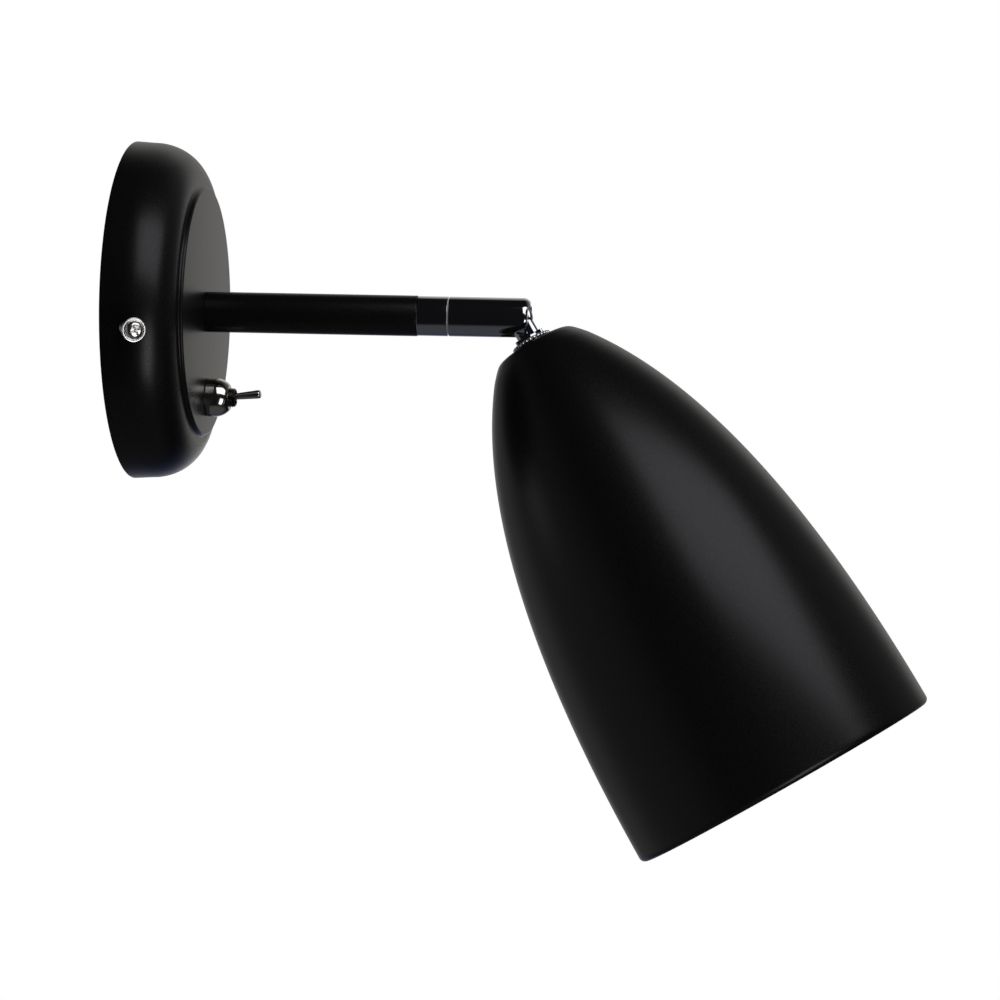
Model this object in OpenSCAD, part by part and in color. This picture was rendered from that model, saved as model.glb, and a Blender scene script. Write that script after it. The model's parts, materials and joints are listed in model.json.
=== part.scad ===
// Adjustable wall light: a round rosette with a toggle switch, a straight arm, a swivel knuckle
// and a spun bullet shade that hides a small-screw lampholder and its bulb.
// Origin: centre of the rosette's back, on the wall. +X comes out of the wall, +Z is up.

/* [Rosette] */
// Outside diameter of the rosette where it meets the wall
rosette_d = 110; // [106:1:130]
// Distance from the wall to where the rosette's shoulder starts to curve
side_h = 6; // [5:0.5:7]
// How much the side wall leans in before the shoulder starts
side_lean = 0.4; // [0:0.1:0.8]
// How far the shoulder comes forward from the wall
shoulder_x = 21.4; // [20.5:0.1:24]
// Diameter of the raised disc in the middle of the rosette
disc_d = 81; // [76:1:86]
// Height of the raised disc above the shoulder
disc_step = 1.6; // [1.6:0.1:3]
// Radius of the hollow corner at the foot of the raised disc
disc_foot_r = 0.8; // [0.4:0.1:0.8]
// Radius on the edge of the raised disc
disc_edge_r = 0.8; // [0.4:0.1:0.8]
// Thickness of the rosette's sheet steel
rosette_t = 1.2; // [0.8:0.1:1.5]
// Turn of the rosette on the wall about the arm's axis
rosette_turn = 13; // [-30:1:30]

/* [Wall bracket and side screws] */
// Width of the bracket's strip
bracket_w = 22; // [20:1:24]
// Thickness of the bracket's steel
bracket_t = 2; // [1.5:0.1:2.2]
// Diameter of the circle that the wall screw holes lie on
wall_hole_circle_d = 60; // [56:1:66]
// Diameter of each wall screw hole
wall_hole_d = 5.5; // [4:0.1:6]
// Diameter of the cable opening in the bracket's middle
cable_hole_d = 14; // [10:1:18]
// Distance from the wall to where a side screw goes through the rosette
side_screw_x = 8.4; // [8.2:0.1:9]
// Lean of a side screw towards the room
side_screw_lean = 32; // [28:1:34]
// Thread diameter of a side screw
side_screw_d = 4; // [3.5:0.1:4]
// Length of a side screw under its head
side_screw_len = 14; // [12:0.5:14]
// Distance from the rosette's side to the underside of a side screw's head
side_screw_stand = 6.2; // [6:0.1:8]
// Diameter of a side screw's head
side_head_d = 7.6; // [7:0.1:8]
// Height of a side screw's head
side_head_h = 2.6; // [2.2:0.1:2.8]
// Depth inside the rosette of the ear that a side screw threads into
ear_depth = 5.2; // [5:0.1:5.5]
// Length of the ear above the screw
ear_rise = 5; // [4:0.5:5.5]

/* [Arm] */
// Outside diameter of the arm's tube
arm_d = 13.2; // [12.8:0.1:14]
// Wall thickness of the arm's tube
arm_t = 1; // [0.8:0.1:1.2]
// Length of the arm's tube
arm_len = 69.2; // [50:0.1:120]
// Diameter of the hollow threaded rod inside the arm
rod_d = 10; // [9.6:0.1:10]
// Bore of the hollow threaded rod
rod_bore = 6.4; // [5:0.1:7]
// How far the threaded rod screws into the swivel's ring
rod_grip = 5; // [4:0.5:5.5]
// Width across the flats of the rod's nut
rod_nut_af = 14; // [13:0.5:17]
// Thickness of the rod's nut
rod_nut_h = 3; // [2:0.5:4]
// Diameter of the rod's toothed washer
rod_washer_d = 19; // [18:0.5:22]
// Thickness of the rod's toothed washer
rod_washer_t = 0.8; // [0.5:0.1:1]

/* [Swivel and knuckle] */
// Outside diameter of the chromed ring and knuckle
collar_d = 12.9; // [12.8:0.1:14]
// Length of the fixed ring
ring_len = 10; // [9:0.1:12]
// Diameter of the spigot that the knuckle turns on
spigot_d = 7; // [6.8:0.1:7]
// Bore of the spigot
spigot_bore = 4.6; // [4:0.1:5]
// Thickness of the knuckle's end wall, which turns on the spigot
knuckle_wall = 3.6; // [3:0.1:4]
// Diameter of the hollow in the knuckle behind its slot
knuckle_bore = 10.8; // [10.6:0.1:10.9]
// Thickness of the slip washer at the seam
slip_washer_t = 0.4; // [0.3:0.1:0.6]
// Diameter of the stop pin that ends the swivel's turn
stop_pin_d = 1; // [0.8:0.1:1]
// Largest turn of the swivel to each side
swivel_stop = 165; // [120:1:168]
// Distance from the seam to the shade's pivot pin
pin_from_seam = 22.7; // [21.5:0.1:26]
// Distance from the pivot pin to the knuckle's rounded end
pin_to_end = 4.3; // [4:0.1:5]
// Radius on the knuckle's rounded end
end_r = 2.4; // [1:0.1:2.5]
// Diameter of the pivot pin
pin_d = 4; // [3:0.1:4]
// Width of the slot in the knuckle
slot_w = 4.5; // [4.4:0.1:4.8]
// Thickness of each friction washer beside the tongue
friction_washer_t = 0.35; // [0.3:0.05:0.4]

/* [Tongue and knurled ring] */
// Width of the tongue, and diameter of its round neck
tongue_d = 7.7; // [7:0.1:7.8]
// Distance from the pivot pin to where the tongue's flats end
flats_end = 6.8; // [6.7:0.1:7.2]
// Distance from the pivot pin to the top of the flange
flange_z = 7.5; // [7.4:0.1:8]
// Diameter of the flange at its top
flange_d = 9.3; // [9:0.1:10]
// Thickness of the flange
flange_h = 2.2; // [1.5:0.1:2.5]
// Diameter of the threaded stem that holds the shade
stem_d = 8; // [8:0.1:8.4]
// Bore of the stem, where the leads run
stem_bore = 4.6; // [4:0.1:5]
// Diameter of the knurled ring
knurl_d = 13.8; // [13:0.1:16]
// Thickness of the knurled ring
knurl_h = 1.3; // [1:0.1:2]
// Number of flutes round the knurled ring
knurl_count = 27; // [20:1:30]

/* [Shade] */
// Tilt of the shade below the horizontal
shade_tilt = 58.7; // [10:0.1:80]
// Length of the shade from its top face to its mouth
shade_len = 160.3; // [150:0.1:190]
// Diameter of the shade's top, measured at the corner before rounding
shade_top_d = 27.9; // [27:0.1:30]
// Diameter of the shade's mouth
shade_mouth_d = 103.8; // [98:0.1:120]
// Angle between the shade's side and its axis at the top
shade_top_angle = 39.6; // [37:0.1:44]
// Length of the curve's handle at the top
shade_top_pull = 46.6; // [42:0.1:52]
// Length of the curve's handle at the mouth
shade_mouth_pull = 61.4; // [50:0.1:70]
// Thickness of the shade's metal
shade_t = 1.1; // [0.8:0.1:1.4]
// Radius on the corner round the shade's top
shade_corner_r = 1.6; // [1:0.1:3]

/* [Lampholder and bulb] */
// Diameter of the lampholder's sleeve
holder_d = 27.6; // [27:0.1:29]
// Height of the lampholder's cap
cap_h = 13; // [12:0.5:15]
// Length of the lampholder's sleeve below its cap
sleeve_len = 33; // [30:0.5:36]
// Thickness of the cap and the sleeve
holder_t = 1.6; // [1.2:0.1:2]
// Thread diameter of the bulb's screw base
bulb_thread_d = 13.9; // [13.8:0.1:14]
// Length of the bulb's screw base
bulb_base_len = 21; // [20:0.5:23]
// Diameter of the bulb's globe
bulb_d = 45; // [40:0.5:48]
// Length of the bulb below its screw base
bulb_body_len = 54; // [50:0.5:60]

/* [Toggle switch] */
// Distance from the rosette's centre to the switch
switch_offset = 28; // [26:0.5:30]
// Turn of the switch in its hole
switch_turn = -36; // [-90:1:0]
// Diameter of the switch's threaded bushing
bushing_d = 6.35; // [6.2:0.05:6.4]
// How far the bushing stands out of the dome nut
bushing_stand = 2; // [1:0.1:3]
// Diameter of the dome nut
dome_nut_d = 12.7; // [12:0.1:14]
// Height of the dome nut
dome_nut_h = 7.4; // [7:0.1:9]
// Height of the dome nut's straight skirt
dome_skirt_h = 2.6; // [2:0.1:3]
// Diameter of the lever's tip
lever_tip_d = 2.8; // [2.2:0.1:3]
// How far the lever stands out of the bushing
lever_stand = 8.8; // [7:0.1:12]
// Lean of the lever to each side
lever_lean = 12.5; // [10:0.5:13]
// Length of the switch's body behind the rosette
switch_body_h = 9.4; // [8:0.1:10]

/* [Hidden] */
$fn = 64;

// Fits, as clearances on the radius
run_fit = 0.05;
loose_fit = 0.3;
thread_fit = 0.02;
play = 0.05;
// Room beyond a face for a cut to pass clean through
past = 1;

rosette_r = rosette_d / 2;
disc_r = disc_d / 2;
face_x = shoulder_x + disc_step;
inner_face_x = face_x - rosette_t;
crest_r = disc_r + disc_foot_r;
shoulder_w = rosette_r - side_lean - crest_r;
shoulder_h = shoulder_x - side_h;
shoulder_steps = 14;
foot_steps = 4;
sin_in = (shoulder_x + disc_foot_r - inner_face_x) / (disc_foot_r + rosette_t);
foot_in_end = asin(max(0, sin_in));

arm_r = arm_d / 2;
rod_r = rod_d / 2;
collar_r = collar_d / 2;
arm_end_x = face_x + arm_len;
seam_x = arm_end_x + ring_len;
rod_start_x = inner_face_x - rod_washer_t - rod_nut_h - 2.5;
rod_end_x = arm_end_x + rod_grip;
nut_x = inner_face_x - rod_washer_t - rod_nut_h;

spigot_r = spigot_d / 2;
spigot_flange_r = rod_r - 0.4;
spigot_flange_t = 1;
spigot_flange_x = rod_end_x + 0.3;
ring_bore_end_x = spigot_flange_x + spigot_flange_t;
knuckle_x = seam_x + slip_washer_t + play;
cavity_x = knuckle_x + knuckle_wall;
wave_washer_t = 0.7;
spigot_nut_h = 2.2;
spigot_nut_af = 8.2;
spigot_nut_x = cavity_x + play + wave_washer_t;
spigot_end_x = spigot_nut_x + spigot_nut_h + 0.5;
stop_r = (spigot_r + run_fit + collar_r) / 2 - 0.05;
stop_groove_r = stop_pin_d / 2 + 0.2;
stop_groove_h = 1.8;
stop_pin_out = 1.4;
stop_pin_in = 1.6;
// Half the stop pin and its room, as an angle, and the half angle of the block that it meets
stop_pin_turn = asin((stop_pin_d / 2 + 0.05) / stop_r);
stop_block = 180 - swivel_stop - stop_pin_turn;
pivot_x = seam_x + pin_from_seam;
knuckle_end_x = pivot_x + pin_to_end;
pin_r = pin_d / 2;

tongue_r = tongue_d / 2;
tongue_t = slot_w - 2 * (friction_washer_t + play);
slot_gap = 0.4;
slot_back_x = pivot_x - tongue_r - slot_gap;
slot_top_z = tongue_r + slot_gap;
flange_end_z = flange_z + flange_h;
flange_taper = 0.4;
stem_r = stem_d / 2;
shade_z = flange_end_z + knurl_h;
shade_top_r = shade_top_d / 2;
shade_mouth_r = shade_mouth_d / 2;
shade_steps = 28;
corner_steps = 6;
shade_washer_t = 1;
shade_nut_h = 4;
shade_nut_af = 13;
shade_in_z = shade_z + shade_t;
shade_nut_z = shade_in_z + shade_washer_t;
cap_z = shade_nut_z + shade_nut_h;
cap_top_t = 2;
stem_end_z = cap_z + cap_top_t + 3;
sleeve_z = cap_z + cap_h;
holder_end_z = sleeve_z + sleeve_len;
holder_r = holder_d / 2;
thread_shell_r = bulb_thread_d / 2 + 0.45;
thread_shell_t = 0.5;
bulb_top_z = holder_end_z - bulb_base_len;
bulb_contact_h = 2.4;
bulb_thread_len = 14.5;
core_z = sleeve_z - 4;
// The globe: its centre, and the angle below its middle at which the housing takes over
bulb_r = bulb_d / 2;
globe_z = holder_end_z + bulb_body_len - bulb_r;
globe_cut = 20;
globe_rim_z = globe_z - bulb_r * sin(globe_cut);
bulb_neck_r = 8.8;
bulb_flare = [[bulb_neck_r, holder_end_z + 2], [bulb_neck_r + 2, holder_end_z + 9],
    [bulb_r * cos(globe_cut) - 3.5, globe_rim_z - 8], [bulb_r * cos(globe_cut), globe_rim_z]];
wire_r = 0.6;
wire_bore_r = 1.3;
wire_outlet_z = 4.6;
wire_outlet_turn = 60;
wire_step = 0.68;
core_hole_y = 6;

bushing_r = bushing_d / 2;
switch_washer_t = 0.8;
body_front_x = inner_face_x - switch_washer_t;
body_back_x = body_front_x - switch_body_h;
bushing_end_x = face_x + dome_nut_h + bushing_stand;
lever_pivot_x = bushing_end_x - 3.4;
lever_out = lever_stand + 3.4;
lever_ball_r = 1.9;
bushing_bore_r = 2.35;
dome_r = dome_nut_d / 2;
// Angle at which the dome gives way to its flat top
dome_end = asin(min(1, (dome_nut_h - dome_skirt_h) / dome_r));
switch_body_w = 8;
switch_body_l = 13;
tab_step = 4.7;
tab_len = 4;

tab_w = 26;
tab_z = 41;
block_w = 27;
block_h = 11;
block_z0 = 24;
block_z1 = 38;
block_z = (block_z0 + block_z1) / 2;
block_floor = 1.5;
tower_w = 6.2;
pole_step = 9;
pole_r = 2.2;
pole_x = bracket_t + 5;
lead_end_z = block_z0 + 2.5;
lead_low_x = bracket_t + 2.4;
tube_bore_r = 1.3;
terminal_screw_r = 1.3;
terminal_screw_z = 3.5;
terminal_screw_len = 4;
block_screw_r = 1;
earth_z = 14.5;
earth_screw_r = 2;
earth_lug_r = 3.8;
earth_lug_t = 0.7;
earth_lead_x = bracket_t + earth_lug_t + wire_r + 0.02;

// Round part of the rosette's side: its outside radius at a distance x from the wall
function side_r(x) = x <= side_h
    ? rosette_r - side_lean * x / side_h
    : crest_r + shoulder_w * sqrt(1 - pow((x - side_h) / shoulder_h, 2));

side_screw_r_at = side_r(side_screw_x);
// Radius at which the ear's outer face meets a plane at a distance x from the wall
function ear_face_r(x) = side_screw_r_at - ear_depth * cos(side_screw_lean)
    + (side_screw_x - ear_depth * sin(side_screw_lean) - x) * tan(side_screw_lean);

// Outline of one end of the bracket in [x, y]: the foot, the leaning ear and its inner corner
ear_tip = [side_screw_x, side_screw_r_at] - ear_depth * [sin(side_screw_lean), cos(side_screw_lean)]
    + ear_rise * [cos(side_screw_lean), -sin(side_screw_lean)];
bracket_side = [[0, ear_face_r(bracket_t)], [bracket_t, ear_face_r(bracket_t)], ear_tip,
    ear_tip - bracket_t * [sin(side_screw_lean), cos(side_screw_lean)],
    [bracket_t, ear_face_r(bracket_t) - bracket_t / cos(side_screw_lean)]];

// Outline of the rosette, from its rim to its centre hole, set in by the thickness t
function rosette_line(t, hole_r) = concat(
    [[rosette_r - t, 0]],
    [for (i = [0:shoulder_steps]) let (a = 90 * i / shoulder_steps)
        [crest_r + (shoulder_w - t) * cos(a), side_h + (shoulder_h - t) * sin(a)]],
    [for (i = [1:foot_steps])
        let (a = 270 - (90 - (t > 0 ? foot_in_end : 0)) * i / foot_steps)
        [crest_r + (disc_foot_r + t) * cos(a), shoulder_x + disc_foot_r + (disc_foot_r + t) * sin(a)]],
    t > 0
        ? [[disc_r - t - 0.01, inner_face_x], [hole_r, inner_face_x]]
        : concat([for (i = [0:foot_steps]) let (a = 90 * i / foot_steps)
            [disc_r - disc_edge_r + disc_edge_r * cos(a), face_x - disc_edge_r + disc_edge_r * sin(a)]],
            [[hole_r, face_x]]));

// Where a lead is soldered to the switch's terminal at y, in the rosette's frame
function switch_tab(y) = [body_back_x - tab_len, y * cos(switch_turn), y * sin(switch_turn) - switch_offset];

function reversed(list) = [for (i = [len(list) - 1:-1:0]) list[i]];

// Point at t from 0 to 1 on the cubic curve with the four points p
function curve_at(p, t) = pow(1 - t, 3) * p[0] + 3 * pow(1 - t, 2) * t * p[1]
    + 3 * (1 - t) * pow(t, 2) * p[2] + pow(t, 3) * p[3];

// The shade's side as one cubic curve, set in by t, in [radius, distance from the pivot]
function shade_side(t) = [
    [shade_top_r - t * 1.25, shade_z + t * 0.2],
    [shade_top_r - t * 1.25 + shade_top_pull * sin(shade_top_angle), shade_z + t * 0.2
        + shade_top_pull * cos(shade_top_angle)],
    [shade_mouth_r - t, shade_z + shade_len - shade_mouth_pull],
    [shade_mouth_r - t, shade_z + shade_len]];

// Points along the shade's side, set in by t, from the one numbered first
function shade_points(t, first) = [for (i = [first:shade_steps]) curve_at(shade_side(t), i / shade_steps)];

// Corner of the shade's top, as a cubic curve from the flat top into the side
shade_corner = [[shade_top_r - shade_corner_r, shade_z], [shade_top_r - shade_corner_r * 0.3, shade_z],
    [shade_top_r + shade_corner_r * 0.3, shade_z + shade_corner_r * 0.6], shade_points(0, 1)[0]];

// Turns a shape drawn along Z to run along X
module along_x(x = 0) translate([x, 0, 0]) rotate([0, 90, 0]) children();

// A tube along X from x0 to x1
module tube_x(x0, x1, r_out, r_in) along_x(x0) difference() {
    cylinder(r = r_out, h = x1 - x0);
    translate([0, 0, -past]) cylinder(r = r_in, h = x1 - x0 + 2 * past);
}

// A tube along Z from z0 to z1
module tube_z(z0, z1, r_out, r_in) translate([0, 0, z0]) difference() {
    cylinder(r = r_out, h = z1 - z0);
    translate([0, 0, -past]) cylinder(r = r_in, h = z1 - z0 + 2 * past);
}

// A solid turned about X from points in [radius, x]
module turned_x(points, fn = 96) rotate([0, 90, 0]) rotate_extrude($fn = fn) polygon(points);

function unit(v) = v / norm(v);

// A path with each inner corner rounded, from cut before it to cut after it
function rounded(path, cut) = concat([path[0]],
    [for (i = [1:len(path) - 2]) let (a = path[i] + cut * unit(path[i - 1] - path[i]),
        b = path[i] + cut * unit(path[i + 1] - path[i]))
        for (t = [0:0.25:1]) (1 - t) * (1 - t) * a + 2 * t * (1 - t) * path[i] + t * t * b],
    [path[len(path) - 1]]);

// Direction of a path at its point i
function heading(path, i) = unit(
    (i > 0 ? unit(path[i] - path[i - 1]) : [0, 0, 0])
    + (i < len(path) - 1 ? unit(path[i + 1] - path[i]) : [0, 0, 0]));

// An insulated lead of radius r, swept along a path that never runs along Y
module lead(corners, r, cut = 1.5) {
    path = rounded(corners, cut);
    sides = 8;
    rings = len(path);
    points = [for (i = [0:rings - 1]) let (u = unit(cross(heading(path, i), [0, 1, 0])),
        v = cross(heading(path, i), u)) for (k = [0:sides - 1])
        path[i] + r * (cos(360 * k / sides) * u + sin(360 * k / sides) * v)];
    walls = [for (i = [0:rings - 2], k = [0:sides - 1]) let (m = (k + 1) % sides)
        [i * sides + k, (i + 1) * sides + k, (i + 1) * sides + m, i * sides + m]];
    polyhedron(points, concat([[for (k = [0:sides - 1]) k]], walls,
        [[for (k = [sides - 1:-1:0]) (rings - 1) * sides + k]]));
}

// Frames: the turned rosette, each side screw, the switch and the head
module on_rosette() rotate([rosette_turn, 0, 0]) children();
module at_side_screws() for (a = [0, 180]) rotate([a, 0, 0])
    translate([side_screw_x, -side_screw_r_at, 0]) rotate([0, 0, side_screw_lean]) rotate([90, 0, 0])
    children();
module on_switch() on_rosette() translate([0, 0, -switch_offset]) rotate([switch_turn, 0, 0]) children();
module on_head() translate([pivot_x, 0, 0]) rotate([0, 90 + shade_tilt, 0]) children();

// The strip and its two ears are one bent piece; the tab carries the terminal block
module wall_bracket() color("silver") on_rosette() difference() {
    union() {
        linear_extrude(height = bracket_w, center = true)
            polygon(concat(bracket_side, reversed([for (p = bracket_side) [p[0], -p[1]]])));
        translate([0, -tab_w / 2, 0]) cube([bracket_t, tab_w, tab_z]);
    }
    at_side_screws() translate([0, 0, -ear_depth - bracket_t - past])
        cylinder(r = side_screw_d / 2 + thread_fit, h = bracket_t + 2 * past);
    for (y = [-1, 1]) along_x(-past) translate([0, y * wall_hole_circle_d / 2, 0])
        cylinder(d = wall_hole_d, h = bracket_t + 2 * past);
    along_x(-past) cylinder(d = cable_hole_d, h = bracket_t + 2 * past);
    translate([0, 0, earth_z]) along_x(-past)
        cylinder(r = earth_screw_r + thread_fit, h = bracket_t + 2 * past);
    translate([0, pole_step / 2, block_z]) along_x(-past)
        cylinder(r = block_screw_r + thread_fit, h = bracket_t + 2 * past);
}

module rosette() color([0.06, 0.06, 0.065]) on_rosette() difference() {
    turned_x(concat(rosette_line(0, rod_r + loose_fit), reversed(rosette_line(rosette_t, rod_r + loose_fit))));
    at_side_screws() translate([0, 0, -side_head_h])
        cylinder(r = side_screw_d / 2 + loose_fit, h = 3 * past + side_head_h);
    translate([0, 0, -switch_offset]) along_x(inner_face_x - past)
        cylinder(r = bushing_r + thread_fit, h = rosette_t + 2 * past);
}

// A pan-head screw that points to -Z, with its head's underside at z = 0
module pan_screw(r, len, head_r, head_h) {
    translate([0, 0, -len]) cylinder(r = r, h = len);
    difference() {
        rotate_extrude() polygon(concat([[0, 0], [head_r, 0], [head_r, head_h * 0.35]],
            [for (a = [15:15:90]) [head_r * (0.45 + 0.55 * cos(a)), head_h * (0.35 + 0.65 * sin(a))]],
            [[0, head_h]]));
        for (a = [0, 90]) rotate([0, 0, a]) translate([-head_r * 0.52, -head_r * 0.12, head_h * 0.45])
            cube([head_r * 1.04, head_r * 0.24, head_h]);
    }
}

module side_screws() color([0.8, 0.8, 0.78]) on_rosette() at_side_screws()
    translate([0, 0, side_screw_stand])
        pan_screw(side_screw_d / 2, side_screw_len, side_head_d / 2, side_head_h);

module arm_tube() color([0.06, 0.06, 0.065]) tube_x(face_x, arm_end_x, arm_r, arm_r - arm_t);

module arm_rod() color("goldenrod") tube_x(rod_start_x, rod_end_x, rod_r, rod_bore / 2);

module rod_washer() color("silver") difference() {
    tube_x(inner_face_x - rod_washer_t, inner_face_x, rod_washer_d / 2, rod_r + thread_fit);
    for (a = [0:30:330]) rotate([a, 0, 0]) translate([nut_x, -0.8, rod_nut_af / 2 + 1])
        cube([rod_nut_h + 2 * rod_washer_t, 1.6, rod_washer_d]);
}

module rod_nut() color("silver") along_x(nut_x) difference() {
    cylinder(d = rod_nut_af / cos(30), h = rod_nut_h, $fn = 6);
    translate([0, 0, -past]) cylinder(r = rod_r + thread_fit, h = rod_nut_h + 2 * past);
}

// The fixed ring: it screws on the rod and holds the spigot's flange against the rod's end
module swivel_ring() color([0.85, 0.86, 0.88]) difference() {
    along_x() rotate_extrude($fn = 96) polygon([[spigot_r + thread_fit, arm_end_x], [collar_r - 0.25, arm_end_x],
        [collar_r, arm_end_x + 0.25], [collar_r, seam_x - 0.25], [collar_r - 0.25, seam_x],
        [spigot_r + thread_fit, seam_x]]);
    along_x(arm_end_x - past) cylinder(r = rod_r + thread_fit, h = ring_bore_end_x - arm_end_x + past);
    translate([0, 0, stop_r]) along_x(seam_x - stop_pin_in) cylinder(d = stop_pin_d, h = stop_pin_in + past);
}

module swivel_spigot() color("goldenrod") union() {
    tube_x(spigot_flange_x, ring_bore_end_x, spigot_flange_r, spigot_bore / 2);
    tube_x(ring_bore_end_x, spigot_end_x, spigot_r, spigot_bore / 2);
}

module stop_pin() color("silver") translate([0, 0, stop_r]) along_x(seam_x - stop_pin_in)
    cylinder(d = stop_pin_d, h = stop_pin_in + slip_washer_t + play + stop_pin_out);

module slip_washer() color([0.9, 0.9, 0.88]) difference() {
    tube_x(seam_x, seam_x + slip_washer_t, collar_r - 0.6, spigot_r + run_fit);
    translate([0, 0, stop_r]) along_x(seam_x - past) cylinder(d = stop_pin_d, h = 2 * past + slip_washer_t);
}

module wave_washer() color("silver")
    tube_x(cavity_x + play, spigot_nut_x, spigot_nut_af / 2, spigot_r + run_fit);

module spigot_nut() color("goldenrod") along_x(spigot_nut_x) difference() {
    cylinder(d = spigot_nut_af / cos(30), h = spigot_nut_h, $fn = 6);
    translate([0, 0, -past]) cylinder(r = spigot_r, h = spigot_nut_h + 2 * past);
}

// Arc of the knuckle's groove that the stop pin runs in, on both sides of the top
module stop_groove() along_x(knuckle_x - past) difference() {
    cylinder(r = stop_r + stop_groove_r, h = stop_groove_h + past);
    translate([0, 0, -past]) cylinder(r = stop_r - stop_groove_r, h = stop_groove_h + 3 * past);
    linear_extrude(height = stop_groove_h + 2 * past) polygon([[0, 0],
        collar_d * [cos(stop_block), sin(stop_block)], collar_d * [cos(stop_block), -sin(stop_block)]]);
}

module knuckle_body() color([0.85, 0.86, 0.88]) difference() {
    along_x() rotate_extrude($fn = 96) polygon(concat([[0, knuckle_x], [collar_r - 0.25, knuckle_x],
        [collar_r, knuckle_x + 0.25]],
        [for (a = [0:15:90]) [collar_r - end_r + end_r * cos(a), knuckle_end_x - end_r + end_r * sin(a)]],
        [[0, knuckle_end_x]]));
    along_x(knuckle_x - past) cylinder(r = spigot_r + run_fit, h = knuckle_wall + 2 * past);
    along_x(cavity_x) cylinder(d = knuckle_bore, h = slot_back_x - 1 - cavity_x);
    along_x(cavity_x) cylinder(r = slot_top_z - 0.4, h = slot_back_x - cavity_x + past);
    translate([slot_back_x, -slot_w / 2, -collar_d]) cube([collar_d, slot_w, collar_d + slot_top_z]);
    translate([pivot_x, collar_r + past, 0]) rotate([90, 0, 0]) cylinder(r = pin_r, h = collar_d + 2 * past);
    stop_groove();
}

module pivot_pin() color("silver") translate([pivot_x, collar_r - 0.3, 0]) rotate([90, 0, 0])
    cylinder(r = pin_r, h = collar_d - 0.6);

module pivot_tongue() color([0.7, 0.71, 0.73]) on_head() difference() {
    union() {
        rotate([90, 0, 0]) cylinder(r = tongue_r, h = tongue_t, center = true);
        intersection() {
            cylinder(r = tongue_r, h = flange_z);
            translate([-tongue_r, -tongue_t / 2, 0]) cube([tongue_d, tongue_t, flange_z]);
        }
        translate([0, 0, flats_end]) cylinder(r = tongue_r, h = flange_z - flats_end);
        translate([0, 0, flange_z]) rotate_extrude() polygon([[0, 0], [flange_d / 2, 0],
            [flange_d / 2 + flange_taper, flange_h], [0, flange_h]]);
        translate([0, 0, flange_end_z]) cylinder(r = stem_r, h = stem_end_z - flange_end_z);
    }
    rotate([90, 0, 0]) cylinder(r = pin_r + run_fit, h = tongue_t + 2 * past, center = true);
    translate([0, 0, wire_outlet_z]) cylinder(r = wire_bore_r, h = stem_end_z);
    translate([0, 0, wire_outlet_z]) rotate([0, 180 - wire_outlet_turn, 0]) cylinder(r = wire_bore_r, h = tongue_d);
    translate([0, 0, flange_end_z]) cylinder(d = stem_bore, h = stem_end_z);
}

module friction_washers() color([0.75, 0.6, 0.35]) for (y = [-1, 1])
    translate([pivot_x, y * (tongue_t + friction_washer_t) / 2, 0]) rotate([90, 0, 0]) difference() {
        cylinder(r = tongue_r - 0.3, h = friction_washer_t, center = true);
        cylinder(r = pin_r + run_fit, h = 2 * past, center = true);
    }

module knurled_ring() color([0.85, 0.86, 0.88]) on_head() difference() {
    tube_z(flange_end_z, shade_z, knurl_d / 2, stem_r + run_fit);
    for (i = [0:knurl_count - 1]) rotate([0, 0, 360 * i / knurl_count])
        translate([knurl_d / 2 + 0.15, 0, flange_end_z - past])
            cylinder(r = 0.6, h = knurl_h + 2 * past, $fn = 16);
}

// The spun shade: a flat top with a rounded corner, a side on one cubic curve and a rolled lip
module shade() color([0.06, 0.06, 0.065]) on_head() rotate_extrude($fn = 128) polygon(concat(
    [[stem_r + loose_fit, shade_z]],
    [for (i = [0:corner_steps]) curve_at(shade_corner, i / corner_steps)],
    shade_points(0, 2),
    [for (a = [45:45:135]) [shade_mouth_r - shade_t / 2 + shade_t / 2 * cos(a),
        shade_z + shade_len + shade_t / 2 * sin(a)]],
    reversed(shade_points(shade_t, 1)),
    [[shade_top_r - shade_t * 1.25, shade_in_z], [stem_r + loose_fit, shade_in_z]]));

module shade_washer() color("silver") on_head() tube_z(shade_in_z, shade_nut_z, 9, stem_r + run_fit);

module shade_nut() color("silver") on_head() translate([0, 0, shade_nut_z]) difference() {
    cylinder(d = shade_nut_af / cos(30), h = shade_nut_h, $fn = 6);
    translate([0, 0, -past]) cylinder(r = stem_r + thread_fit, h = shade_nut_h + 2 * past);
}

// The lampholder's cap: a dome that screws on the stem and over the sleeve
module holder_cap() color([0.93, 0.92, 0.88]) on_head() difference() {
    rotate_extrude() polygon(concat([[0, cap_z], [holder_r * 0.5, cap_z]],
        [for (a = [75:-15:0]) [holder_r * 0.5 + holder_r * 0.5 * cos(a), cap_z + cap_h * 0.55 * (1 - sin(a))]],
        [[holder_r, sleeve_z], [0, sleeve_z]]));
    translate([0, 0, cap_z - past]) cylinder(r = stem_r + thread_fit, h = cap_top_t + 2 * past);
    rotate_extrude() polygon(concat([[0, cap_z + cap_top_t], [holder_r * 0.5, cap_z + cap_top_t]],
        [for (a = [75:-15:0]) [holder_r * 0.5 + (holder_r * 0.5 - holder_t) * cos(a),
            cap_z + cap_top_t + (cap_h * 0.55 - holder_t) * (1 - sin(a))]],
        [[holder_r - holder_t, sleeve_z + past], [0, sleeve_z + past]]));
}

module holder_sleeve() color([0.93, 0.92, 0.88]) on_head() difference() {
    union() {
        cylinder_between(sleeve_z, holder_end_z, holder_r);
        translate([0, 0, sleeve_z - 3]) cylinder(r = holder_r - holder_t - thread_fit, h = 3);
    }
    translate([0, 0, sleeve_z - 3 - past]) cylinder(r = holder_r - 2 * holder_t, h = sleeve_len + 3 + 2 * past);
}

module cylinder_between(z0, z1, r) translate([0, 0, z0]) cylinder(r = r, h = z1 - z0);

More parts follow.
